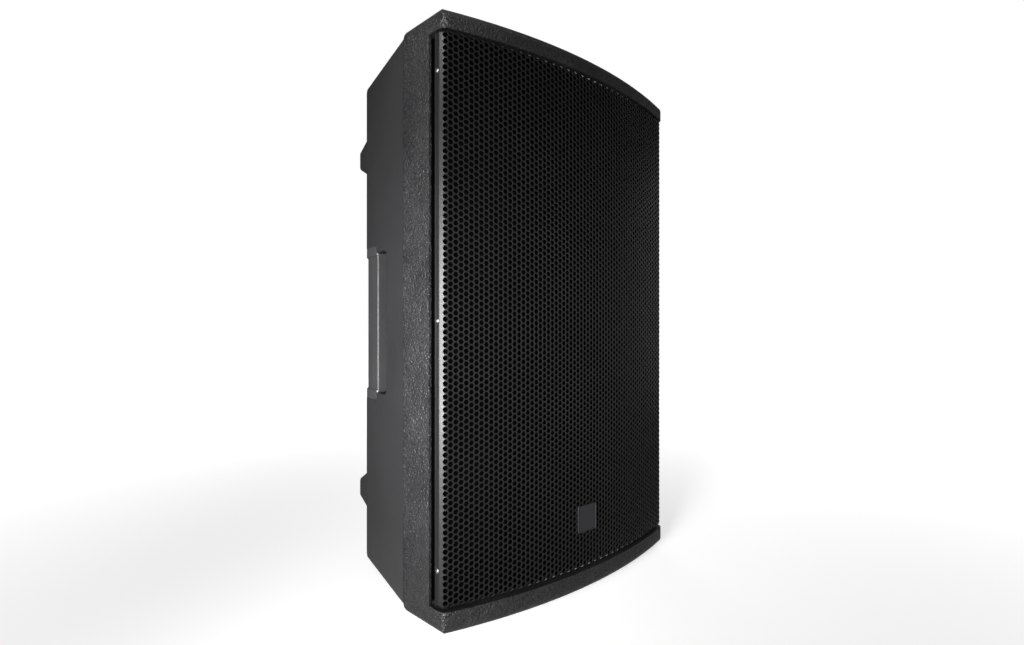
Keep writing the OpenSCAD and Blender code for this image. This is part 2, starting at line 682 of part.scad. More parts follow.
module handle_cup() color("#222222") translate([0, 0, mid_z]) difference() {
  union() {
    difference() {
      translate([0, 0, -cup_half]) linear_extrude(2 * cup_half) polygon(concat(
        [[inner_x(slot_y - cup_t), slot_y - cup_t], [inner_x(shoulder_y), shoulder_y],
          [inner_x(bar_end_y - 2), bar_end_y - 2], [bevel_x(bar_end_y) - bar_t - 8, bar_end_y - 2]],
        fillet([bevel_x(bar_end_y) - bar_t - 8, bar_end_y - 2], [pocket_x - cup_t, shoulder_y],
          [pocket_x - cup_t, 0], 11 + cup_t, 4),
        fillet([pocket_x - cup_t, 0], [pocket_x - cup_t, slot_y - cup_t], [cab_w, slot_y - cup_t],
          14 + cup_t, 4)));
      translate([0, 0, -slot_h / 2]) linear_extrude(slot_h) polygon(concat(
        [[cab_w / 2, slot_y], [cab_w / 2, bar_end_y - 6], [bevel_x(bar_end_y) - bar_t - 6, bar_end_y - 6]],
        fillet([bevel_x(bar_end_y) - bar_t - 6, bar_end_y - 6], [pocket_x, shoulder_y - 2],
          [pocket_x, 0], 11, 4),
        fillet([pocket_x, 0], [pocket_x, slot_y], [cab_w, slot_y], 14, 4)));
    }
    // Ribbed pad on the lip of the slot
    block(pocket_x + rib_start, side_x(slot_y) - 1, slot_y, slot_y + rib_base, -rib_pad_h / 2,
      rib_pad_h / 2);
    for (k = [0 : rib_count - 1])
      to_right([pocket_x + rib_start, slot_y + rib_base, (k - (rib_count - 1) / 2) * rib_pitch])
        cylinder(r = rib_r, h = side_x(slot_y) - 1 - pocket_x - rib_start, $fn = 24);
  }
  // Notch that takes the grip bar, with its screw holes
  translate([0, 0, -bar_h / 2 - fit_gap]) linear_extrude(bar_h + 2 * fit_gap)
    polygon(rounded(bar_plan(fit_gap), [0, 0, 0, 0, bar_inner_r, 0]));
  for (s = [-1, 1]) to_right([pocket_x - cup_t - past, handle_screw_y, s * handle_screw_z])
    cylinder(r = screw_way_r, h = cab_w / 2 - pocket_x + cup_t);
}

// Space outside the line from a to b, sunk by grip_drop, with sloping ends
module grip_cut(a, b) {
  run = 60 * unit(b - a);
  out = [run.y, -run.x] / 60;
  hull() for (drop = [0, grip_drop]) {
    half = bar_h / 2 - bar_collar_h - drop;
    face = -(bar_face_drop + drop) * out;
    translate([0, 0, -half]) linear_extrude(2 * half)
      polygon([a - run + face, b + run + face, b + run + 30 * out, a - run + 30 * out]);
  }
}

module handle_bar() color("#3a3a3a") translate([0, 0, mid_z]) difference() {
  translate([0, 0, -bar_h / 2]) linear_extrude(bar_h)
    polygon(rounded(bar_plan(0), [4, 4, 2, 5, bar_inner_r, 6]));
  // Chamfered ends
  for (s = [-1, 1]) mirror([0, 0, s > 0 ? 0 : 1]) translate([side_x(bar_y), 0, bar_h / 2])
    rotate([0, 45, 0]) translate([-1.5, 0, -3]) cube([8, 400, 12]);
  // Grip set back between the thicker ends, along the side and along the bevel
  grip_cut([side_x(bar_y), bar_y], [shoulder_x, shoulder_y]);
  grip_cut([shoulder_x, shoulder_y], [bevel_x(bar_end_y), bar_end_y]);
  for (s = [-1, 1]) to_right([side_x(bar_y) - bar_t - 10, handle_screw_y, s * handle_screw_z])
    cylinder(r = 1.95, h = 22);
}

module handle_screws() color("#9a9a9a") both_sides() for (s = [-1, 1])
  to_left([pocket_x - cup_t, handle_screw_y, mid_z + s * handle_screw_z])
    screw(1.9, side_x(bar_y) - bar_t + 8 - pocket_x + cup_t, 4, 2.5);

// ---- Feet and mounts ----

module rubber_feet() color("#151515") both_sides() for (k = [0, 1]) {
  y = foot_places_y[k];
  wall_z = mid_z - (k == 0 ? front_half_h(y) : rear_half_h(y));
  barb_z = wall_z + (k == 0 ? wall : rear_wall_t(y)) + 0.5;
  translate([foot_x, y, 0]) rotate_extrude() polygon([[0, 0], [foot_r - 1.5, 0], [foot_r, 1.5],
    [foot_r, wall_z + foot_sink], [foot_peg_r, wall_z + foot_sink], [foot_peg_r, barb_z],
    [foot_peg_r + 0.8, barb_z + 1], [foot_peg_r - 1.5, barb_z + 3.5], [0, barb_z + 3.5]]);
}

module pole_socket() color("#262626") translate([0, pole_y, socket_z]) difference() {
  union() {
    linear_extrude(socket_t) polygon(rounded(box_points(socket_side, socket_side), 10));
    cylinder(r = pole_r + socket_wall, h = pole_l + socket_wall);
  }
  translate([0, 0, -past]) cylinder(r = pole_r, h = pole_l + past);
  for (x = [-1, 1], y = [-1, 1]) translate([socket_screw * x, socket_screw * y, -past])
    cylinder(r = screw_way_r, h = socket_t + 3 * past);
}

module pole_socket_screws() color("#8a8a8a") for (x = [-1, 1], y = [-1, 1])
  translate([socket_screw * x, pole_y + socket_screw * y, socket_z]) rotate([180, 0, 0])
    screw(1.9, 14, 3.8, 2);

// Threaded insert with its mouth at z = 0, held against turning by a knurled collar
module insert() difference() {
  union() {
    translate([0, 0, -insert_l]) cylinder(r = insert_r, h = insert_l);
    translate([0, 0, -insert_l - 1.5]) cylinder(r = insert_r - 2, h = insert_l);
  }
  translate([0, 0, -rigging_l]) cylinder(r = rigging_r, h = rigging_l + past);
}

module rigging_inserts() color("#a8a8a8") {
  for (x = [-1, 1] * rigging_top.x) translate([x, rigging_top.y, rigging_z]) insert();
  to_back([0, back_y - insert_sink, rigging_back_z]) insert();
}

// ---- Woofer: local +Z points to the front, z = 0 on the baffle ----

module at_woofer() to_front([0, baffle_y, woofer_z]) children();
module woofer_screw_ring() for (a = [22.5 : 45 : 359])
  rotate(a) translate([woofer_screw_r, 0, 0]) children();
flange_top = woofer_gasket_t + woofer_flange_t;
surround_seat = flange_top - 3.5;

module woofer_gasket() color("#161616") at_woofer() difference() {
  ring(woofer_r - 1, woofer_hole_r, woofer_gasket_t);
  woofer_screw_ring() translate([0, 0, -past]) cylinder(r = screw_way_r, h = woofer_gasket_t + 2 * past);
}

module woofer_basket() color("#3c3f42") at_woofer() difference() {
  rotate_extrude() polygon([[woofer_r, woofer_gasket_t], [woofer_r, flange_top], [surround_r, flange_top],
    [surround_r, surround_seat], [surround_r - 7, surround_seat], [surround_r - 12, -10],
    [spider_r + 6, spider_h + 3], [spider_r + 6, spider_h - 1], [spider_r - 8, spider_h - 1],
    [spider_r - 8, spider_h - 4], [spider_r, spider_h - 4], [spider_r, basket_base + base_t],
    [plate_hole_r + 4, basket_base + base_t], [plate_hole_r + 4, basket_base],
    [spider_r + 4, basket_base], [spider_r + 4, spider_h - 4], [spider_r + 11, spider_h + 1],
    [surround_r - 6, -14],
    [woofer_hole_r - 1, -5], [woofer_hole_r - 1, woofer_gasket_t]]);
  // Windows between the spokes
  for (a = [0 : 60 : 359]) rotate(a) translate([0, 0, spider_h - 2]) linear_extrude(44)
    polygon(concat(arc([0, 0], surround_r - 16, -21, 21), arc([0, 0], spider_r + 14, 18, -18)));
  woofer_screw_ring() cylinder(r = 2.4, h = 20);
}

module woofer_surround() color("#101010") at_woofer() {
  c = [surround_r - 13, surround_seat + 0.5];
  rotate_extrude() polygon(concat([[surround_r - 0.5, surround_seat], [surround_r - 0.5, surround_seat + 1],
    [c.x + 7, surround_seat + 1]], arc(c, 7, 0, 180, 8), [[c.x - 7, surround_seat + 1],
    [cone_r - 6, surround_seat + 1], [cone_r - 6, surround_seat], [c.x - 6, surround_seat]],
    arc(c, 6, 180, 0, 8), [[c.x + 6, surround_seat]]));
}

module woofer_spider() color("#c9a25c") at_woofer() {
  waves = 8;
  step = (spider_r - coil_r - 4) / waves;
  profile = [for (i = [0 : waves]) [coil_r + 1.2 + i * step, spider_h + (i % 2 == 0 ? 0 : 3)]];
  foot = [[spider_r - 2, spider_h - 0.7], [spider_r + 5, spider_h - 0.7]];
  rotate_extrude() polygon(concat(profile, foot, [for (i = [1 : -1 : 0]) foot[i] + [0, 0.8]],
    [for (i = [waves : -1 : 0]) profile[i] + [0, 0.8]]));
}

module woofer_cone() color("#1a1a1a") at_woofer() rotate_extrude() polygon([
  [coil_r + 0.6, cone_neck - cone_t], [cone_r - 6, surround_seat - cone_t],
  [cone_r, surround_seat - cone_t], [cone_r, surround_seat - 0.3], [cone_r - 7, surround_seat - 0.3],
  [coil_r + 0.6, cone_neck]]);

module dust_cap() color("#141414") at_woofer() {
  base_r = coil_r + 8;
  cap_h0 = cone_neck + (base_r - coil_r) * (surround_seat - cone_neck) / (cone_r - coil_r) + 1;
  rise = 14;
  r = (base_r ^ 2 + rise ^ 2) / 2 / rise;
  a = acos(base_r / r);
  rotate_extrude() polygon(concat(arc([0, cap_h0 + rise - r], r, a, 90),
    arc([0, cap_h0 + rise - r], r - 0.8, 90, a)));
}

module voice_coil() color("#b87333") at_woofer() {
  winding = [basket_base - top_plate_t - cone_travel - 3, basket_base + cone_travel - 4];
  rotate_extrude() polygon([[coil_r - 0.6, winding[0]], [coil_r + 1.2, winding[0]],
    [coil_r + 1.2, winding[1]], [coil_r + 0.6, winding[1]], [coil_r + 0.6, cone_neck + 2.5],
    [coil_r - 0.6, cone_neck + 2.5]]);
}

module woofer_top_plate() color("#8c9196") at_woofer() translate([0, 0, basket_base - top_plate_t])
  ring(magnet_r - 4, plate_hole_r, top_plate_t);

module woofer_magnet() color("#3a3a3a") at_woofer() translate([0, 0, basket_base - top_plate_t - magnet_t])
  ring(magnet_r, magnet_hole_r, magnet_t);

module woofer_yoke() color("#8c9196") at_woofer() {
  bottom = basket_base - top_plate_t - magnet_t - yoke_t;
  rotate_extrude() polygon([[12, bottom], [magnet_r - 8, bottom], [magnet_r - 4, bottom + 4],
    [magnet_r - 4, bottom + yoke_t], [pole_piece_r, bottom + yoke_t], [pole_piece_r, basket_base + 1],
    [12, basket_base + 1]]);
}

module woofer_terminals() color("#d8c9a0") at_woofer() rotate(90) {
  block(spider_r + 4, spider_r + 9, -14, 14, basket_base + 6, basket_base + 22);
  for (y = [-7, 7]) block(spider_r + 9, spider_r + 19, y - 3, y + 3, basket_base + 13, basket_base + 14);
}

module woofer_screws() color("#8a8a8a") at_woofer() woofer_screw_ring()
  translate([0, 0, flange_top]) screw(screw_shaft_r, 18, 4, 2.5);

// ---- Horn, compression driver and ports ----

// Half size of the horn's passage at depth s behind the baffle, from the mouth to the throat
function horn_half(mouth, s) = throat_r * 0.85 + (mouth / 2 - throat_r * 0.85) * (1 - s / horn_d) ^ 1.5;
module horn_passage(grow, front) intersection() {
  w = [for (i = [0 : 6]) let (s = i * (horn_d - 8) / 6) [horn_half(horn_w - 34, s) + grow, baffle_y + s]];
  h = [for (i = [0 : 6]) let (s = i * (horn_d - 8) / 6) [baffle_y + s, horn_half(horn_h - 34, s) + grow]];
  back = throat_y + (grow > 0 ? -8 : past);
  translate([0, 0, horn_z - horn_h]) linear_extrude(2 * horn_h) polygon(concat([[w[0].x, front]], w,
    [[w[6].x, back], [-w[6].x, back]], [for (i = [6 : -1 : 0]) [-w[i].x, w[i].y]], [[-w[0].x, front]]));
  translate([0, 0, horn_z]) along_x(-horn_w, horn_w) polygon(concat([[front, h[0].y]], h,
    [[back, h[6].y], [back, -h[6].y]], [for (i = [6 : -1 : 0]) [h[i].x, -h[i].y]], [[front, -h[0].y]]));
}

module horn() color("#202224") difference() {
  union() {
    translate([0, 0, horn_z]) along_y(baffle_y - horn_flange_t, baffle_y)
      polygon(rounded(box_points(horn_w, horn_h), 16));
    horn_passage(horn_wall, baffle_y - 1);
    to_back([0, throat_y - 10, horn_z]) cylinder(r = driver_r - 12, h = 10);
  }
  horn_passage(0, baffle_y - horn_flange_t - past);
  for (x = horn_screw_x, z = horn_screw_z) to_back([x, baffle_y - horn_flange_t - past, horn_z + z])
    cylinder(r = screw_way_r, h = horn_flange_t + 2 * past);
}

module horn_screws() color("#8a8a8a") for (x = horn_screw_x, z = horn_screw_z)
  to_front([x, baffle_y - horn_flange_t, horn_z + z]) screw(screw_shaft_r, 18, 3.8, 2.2);

module at_driver(y) to_back([0, y, horn_z]) children();

module driver_plate() color("#8c9196") at_driver(throat_y) difference() {
  cylinder(r = driver_r - 4, h = driver_plate_t);
  translate([0, 0, -past]) cylinder(r1 = throat_r, r2 = diaphragm_r - 6, h = driver_plate_t + 2 * past);
}

module driver_magnet() color("#3a3a3a") at_driver(driver_y)
  ring(driver_r, driver_hole_r, driver_magnet_t);

module hf_diaphragm() color("#b9c2cc") at_driver(driver_y) {
  rim_r = driver_hole_r - 0.3;
  lift = 0.7;
  below = 20;
  dome_r = norm([diaphragm_r, below]);
  edge = atan2(below, diaphragm_r);
  rotate_extrude() polygon(concat([[rim_r, lift], [diaphragm_r, lift]],
    arc([0, lift - below], dome_r, edge, 90), arc([0, lift - below], dome_r + 0.6, 90, edge),
    [[rim_r, lift + 0.8]]));
}

module driver_cap() color("#1c1c1c") at_driver(driver_y + driver_magnet_t) rotate_extrude()
  polygon([[driver_r - 3, 0], [driver_r - 3, driver_cap_d - 5], [driver_r - 8, driver_cap_d],
    [0, driver_cap_d], [0, driver_cap_d - 3], [driver_r - 9, driver_cap_d - 3],
    [driver_r - 6, driver_cap_d - 6], [driver_r - 6, 0]]);

module port_tubes() color("#1e1e1e") both_sides() for (p = port_places) to_back([p.x, baffle_y, p.y])
  rotate_extrude() polygon([[port_r, port_l], [port_r + port_t, port_l], [port_r + port_t, 0],
    [port_r + port_t + port_lip, 0], [port_r + port_t + port_lip, -2], [port_r + port_t, -3],
    [port_r + 1.5, -1.5], [port_r, 3]]);

// ---- Amplifier module ----

module on_panel(x, z) to_back([x, panel_face, z]) children();
knob_x = [for (i = [-1.5 : 1.5]) i * knob_pitch];

module panel_hole(x, z, r) to_back([x, panel_y - past, z]) cylinder(r = r, h = panel_t + 3 * past);
module panel_window(x, z, size) translate([x, 0, z]) along_y(panel_y - past, panel_face + past)
  square(size, center = true);

module amp_panel() color("#1b1b1b") difference() {
  translate([0, 0, panel_z]) along_y(panel_y, panel_face) polygon(rounded(box_points(panel_w, panel_h), 5));
  for (x = panel_screw_x, z = panel_screw_z) panel_hole(x, z, screw_way_r);
  for (x = knob_x) panel_hole(x, knob_z, pot_neck_r);
  panel_hole(button_x, knob_z, button_r + moving_gap);
  for (x = jack_x) panel_hole(x, jack_z, jack_r + fit_gap);
  for (x = latch_x) panel_window(x, jack_z + latch_up, [8, 6]);
  for (x = lamp_x) panel_hole(x, lamp_z, lamp_r);
  panel_window(inlet_x, power_z, inlet_size + [0.5, 0.5]);
  panel_window(switch_x, power_z, switch_size + [0.5, 0.5]);
}

module heat_sink() color("#2a2a2a") {
  block(-sink_half_w, sink_half_w, panel_face, panel_face + sink_base_t, sink_z - sink_half_h,
    sink_z + sink_half_h);
  for (i = [-fins : fins]) block(fin_pitch * i - fin_t / 2, fin_pitch * i + fin_t / 2,
    panel_face + sink_base_t - past, panel_face + fin_d, sink_z - sink_half_h, sink_z + sink_half_h);
}

module amp_gasket() color("#101010") difference() {
  translate([0, 0, panel_z]) along_y(ledge_y, panel_y) difference() {
    polygon(rounded(box_points(panel_w - 1, panel_h - 1), 5));
    polygon(rounded(box_points(panel_w - 2 * panel_lip, panel_h - 2 * panel_lip), 4));
  }
  for (x = panel_screw_x, z = panel_screw_z) to_back([x, ledge_y - past, z])
    cylinder(r = screw_way_r, h = panel_gasket_t + 3 * past);
}

module amp_screws() color("#8a8a8a") for (x = panel_screw_x, z = panel_screw_z)
  on_panel(x, z) screw(1.5, 10, 3.8, 2.2);

module amp_box() color("#a9adb0") translate([0, 0, panel_z]) difference() {
  along_y(panel_y - box_d, panel_y) square([box_w, box_h], center = true);
  along_y(panel_y - box_d + box_t, panel_y + past)
    square([box_w - 2 * box_t, box_h - 2 * box_t], center = true);
}

box_floor = panel_y - box_d + box_t;
board_y = box_floor + 8;
board_t = 1.6;
board_half_w = box_w / 2 - 11;
board_z = [panel_z - 45, panel_z + box_h / 2 - 12];
capacitor_r = 13;
capacitor_pitch = 2 * (board_half_w - capacitor_r - 2) / 3;

module amp_board() color("#1f5c35") {
  block(-board_half_w, board_half_w, board_y, board_y + board_t, board_z[0], board_z[1]);
  for (x = [-1, 1] * (board_half_w - 8), z = [board_z[0] + 8, board_z[1] - 8])
    to_back([x, box_floor, z]) cylinder(r = 3, h = board_y - box_floor);
}

module amp_capacitors() color("#20304a") for (i = [0 : 3])
  to_back([(i - 1.5) * capacitor_pitch, board_y + board_t, board_z[1] - 40])
    cylinder(r = capacitor_r, h = 36);

module power_transformer() color("#6b4a2b") to_back([0, box_floor, panel_z - 125]) {
  rotate_extrude() polygon(rounded([[13, 0], [46, 0], [46, 34], [13, 34]], [0, 8, 8, 0]));
  cylinder(r = 13, h = 36);
  translate([0, 0, 34]) cylinder(r = 22, h = 2);
}

module control_pots() color("#75797c") {
  for (x = knob_x) on_panel(x, knob_z) {
    translate([0, 0, -panel_t - 12]) cylinder(r = 8, h = 12);
    translate([0, 0, -panel_t - 1]) cylinder(r = pot_neck_r, h = panel_t + 3);
    cylinder(r = 3, h = 10);
  }
  on_panel(button_x, knob_z) translate([0, 0, -panel_t - 14]) ring(button_r + 2, button_r + moving_gap, 14);
}

// Round knob with flutes and a pointer groove
module knob() color("#303030") difference() {
  rotate_extrude() polygon([[0, 2.5], [knob_r, 2.5], [knob_r - 0.8, knob_d + 1],
    [knob_r - 2, knob_d + 2], [0, knob_d + 2]]);
  translate([0, 0, 2]) cylinder(r = 3.05, h = 8.5);
  for (a = [30 : 30 : 330]) rotate(a) translate([0, knob_r + 0.6, 0]) cylinder(r = 1.6, h = 30, $fn = 24);
  block(-0.6, 0.6, knob_r - 5, knob_r + 2, knob_d + 1.2, knob_d + 3);
}
module gain_knob_1() on_panel(knob_x[0], knob_z) knob();
module gain_knob_2() on_panel(knob_x[1], knob_z) knob();
module bass_knob() on_panel(knob_x[2], knob_z) knob();
module treble_knob() on_panel(knob_x[3], knob_z) knob();

module mode_button() color("#b03030") on_panel(button_x, knob_z) translate([0, 0, -panel_t - button_back])
  cylinder(r = button_r, h = panel_t + button_back + button_out);

// Mains inlet: its body passes the panel, with three blades in the socket and a slot for the fuse drawer
module mains_inlet() color("#121212") translate([inlet_x, 0, power_z]) {
  difference() {
    union() {
      along_y(panel_y - 18, panel_face) square(inlet_size, center = true);
      along_y(panel_face, panel_face + 2.5) polygon(rounded(box_points(48, 38), 3));
    }
    along_y(panel_y - 13, panel_face + 4) translate([0, 4])
      polygon([[-12, -8.2], [12, -8.2], [12, 3], [7, 8.2], [-7, 8.2], [-12, 3]]);
    along_y(panel_y - 14, panel_face + 4) translate([0, -fuse_drop]) square(fuse_size, center = true);
  }
  for (p = [[-7, 2], [0, 6], [7, 2]]) translate([p.x, 0, p.y])
    block(-1, 1, panel_y - 14, panel_face - 1, -2, 2);
}

module fuse_drawer() color("#1d1d1d") translate([inlet_x, 0, power_z - fuse_drop]) {
  along_y(panel_y - 12, panel_face + 2.5)
    square(fuse_size - 2 * [moving_gap, moving_gap], center = true);
  along_y(panel_face + 2.5, panel_face + 4) square([12, 5], center = true);
}

module power_switch() color("#141414") translate([switch_x, 0, power_z]) difference() {
  union() {
    along_y(panel_y - 20, panel_face) square(switch_size, center = true);
    along_y(panel_face, panel_face + 2) polygon(rounded(box_points(25, 33), 2));
  }
  along_y(panel_y - 14, panel_face + 4) square([15, 24], center = true);
  to_right([-10, rocker_y, 0]) cylinder(r = pivot_r + shaft_gap, h = 20);
}

// Rocker with its two pivots, tipped so that its upper end stands out
module power_rocker() color("#8e1c1c") translate([switch_x, rocker_y, power_z]) {
  along_x(-7, 7) rotate(-rocker_tilt)
    polygon([[-6, -5], [-6, 5], [3.2, 11], [5, 10.8], [2.6, 0], [5, -10.8], [3.2, -11]]);
  to_right([-9, 0, 0]) cylinder(r = pivot_r, h = 18);
}

module input_jacks() color("#2c2c2c") for (x = jack_x) translate([x, 0, jack_z]) difference() {
  union() {
    along_y(panel_y - 20, panel_face) circle(r = jack_r);
    along_y(panel_face, panel_face + 2) polygon(rounded(box_points(26, 31), 3));
  }
  along_y(panel_y - 14, panel_face + 4) circle(r = 9.5);
  if (x != jack_x[2]) along_y(panel_y - 14, panel_face + 4) translate([0, latch_up])
    square([latch_w, 4 + 2 * moving_gap], center = true);
}

module jack_latch() color("#c0c0c0") along_y(panel_face - 6, panel_face + 4)
  square([latch_w - 2 * moving_gap, 3.6], center = true);
module jack_latch_1() translate([latch_x[0], 0, jack_z + latch_up]) jack_latch();
module jack_latch_2() translate([latch_x[1], 0, jack_z + latch_up]) jack_latch();

module status_lamps() color("#4fbf5a") for (x = lamp_x) on_panel(x, lamp_z)
  translate([0, 0, -panel_t - 2]) rotate_extrude() polygon([[0, 0], [lamp_r + 0.7, 0], [lamp_r + 0.7, 2],
    [lamp_r, 2], [lamp_r, panel_t + 2.5], [lamp_r - 0.7, panel_t + 3.6], [0, panel_t + 4.2]]);

front_shell();
rear_shell();
shell_gasket();
shell_screws();
grille();
grille_foam();
grille_screws();
badge_plate();
mirror([1, 0, 0]) handle_cup();  // handle_cup_left
handle_cup();  // handle_cup_right
mirror([1, 0, 0]) handle_bar();  // handle_bar_left
handle_bar();  // handle_bar_right
handle_screws();
rubber_feet();
pole_socket();
pole_socket_screws();
rigging_inserts();
woofer_gasket();
woofer_basket();
woofer_surround();
woofer_spider();
woofer_cone();
dust_cap();
voice_coil();
woofer_top_plate();
woofer_magnet();
woofer_yoke();
woofer_terminals();
woofer_screws();
horn();
horn_screws();
driver_plate();
driver_magnet();
hf_diaphragm();
driver_cap();
port_tubes();
amp_panel();
heat_sink();
amp_gasket();
amp_screws();
amp_box();
amp_board();
amp_capacitors();
power_transformer();
control_pots();
gain_knob_1();
gain_knob_2();
bass_knob();
treble_knob();
mode_button();
mains_inlet();
fuse_drawer();
power_switch();
power_rocker();
input_jacks();
jack_latch_1();
jack_latch_2();
status_lamps();
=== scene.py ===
"""Looks of a moulded two-way loudspeaker cabinet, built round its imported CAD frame.

Lengths are in metres, in the CAD's frame: X is the width, Y runs to the back and Z is up.
"""

import json
import logging
import math
from collections.abc import Callable, Iterator, Sequence
from contextlib import contextmanager
from dataclasses import dataclass, field
from enum import Enum

import bmesh
import bpy
from mathutils import Matrix, Vector

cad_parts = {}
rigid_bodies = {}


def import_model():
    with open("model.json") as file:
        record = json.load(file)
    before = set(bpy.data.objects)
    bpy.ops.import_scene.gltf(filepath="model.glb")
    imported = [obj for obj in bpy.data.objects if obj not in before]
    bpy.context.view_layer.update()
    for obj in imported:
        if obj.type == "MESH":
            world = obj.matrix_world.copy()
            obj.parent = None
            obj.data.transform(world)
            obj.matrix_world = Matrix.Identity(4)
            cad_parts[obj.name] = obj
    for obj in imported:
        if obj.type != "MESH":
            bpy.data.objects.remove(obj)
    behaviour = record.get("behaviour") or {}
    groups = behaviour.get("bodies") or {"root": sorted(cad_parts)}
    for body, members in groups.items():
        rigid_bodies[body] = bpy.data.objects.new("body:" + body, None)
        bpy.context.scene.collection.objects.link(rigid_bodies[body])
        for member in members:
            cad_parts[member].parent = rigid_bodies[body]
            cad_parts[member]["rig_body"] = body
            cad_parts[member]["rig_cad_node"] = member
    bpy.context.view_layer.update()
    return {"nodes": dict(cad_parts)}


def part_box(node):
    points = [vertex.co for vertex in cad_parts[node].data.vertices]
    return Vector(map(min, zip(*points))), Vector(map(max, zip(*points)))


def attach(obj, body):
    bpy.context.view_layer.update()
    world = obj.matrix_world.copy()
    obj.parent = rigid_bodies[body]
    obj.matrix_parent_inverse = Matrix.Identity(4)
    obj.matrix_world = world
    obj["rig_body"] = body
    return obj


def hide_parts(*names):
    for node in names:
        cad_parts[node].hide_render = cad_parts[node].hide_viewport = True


LOG = logging.getLogger("cabinet")
ROOT = "root"
MM = 0.001
# Points nearer to each other than this are one point: in a CAD node, and in a mesh drawn here
CAD_MERGE = 2e-6
MERGE = 1e-5
# Scale at which a wave texture has one band per unit of length
ONE_BAND = 0.314
Point = tuple[float, float]
Place = tuple[float, float, float]
Piece = bpy.types.Object
Tree = bpy.types.NodeTree
Socket = bpy.types.NodeSocket


# ---------------------------------------------------------------- finishes


class Grain(Enum):
    """How a surface's fine relief was made."""

    LEATHER = "pebbles pressed by an etched mould"
    PEEL = "soft dimples of a sprayed or baked coat"
    CELLS = "open cells of a foam"
    BRUSHED = "fine parallel scratches"
    WOVEN = "threads crossing at right angles"
    WOUND = "turns of wire side by side"
    SMOOTH = "plain, with faint flow marks"


def linear(code: str) -> tuple[float, float, float, float]:
    """Turns an sRGB hex colour to the linear values that shaders take.

    Args:
        code: the colour, such as "#2b2b2b".

    Returns:
        Red, green, blue and alpha.
    """
    parts = [int(code[i : i + 2], 16) / 255 for i in (1, 3, 5)]
    red, green, blue = (
        p / 12.92 if p <= 0.04045 else ((p + 0.055) / 1.055) ** 2.4 for p in parts
    )
    return red, green, blue, 1.0


def add_node(tree: Tree, kind: str, values: dict | None = None, **settings: object) -> bpy.types.Node:
    """Adds one node with its settings and links.

    Args:
        tree: the material's or world's node tree.
        kind: the node's type name, without "ShaderNode".
        values: input name or index to a value, or to the output socket that feeds it.
        settings: the node's own properties.

    Returns:
        The new node.
    """
    node = tree.nodes.new("ShaderNode" + kind)
    for name, value in settings.items():
        setattr(node, name, value)
    for key, value in (values or {}).items():
        if isinstance(value, Socket):
            tree.links.new(value, node.inputs[key])
        else:
            node.inputs[key].default_value = value
    return node


def blank_tree(owner: bpy.types.Material | bpy.types.World) -> Tree:
    """Gives a material or world an empty node tree."""
    owner.use_nodes = True
    owner.node_tree.nodes.clear()
    return owner.node_tree


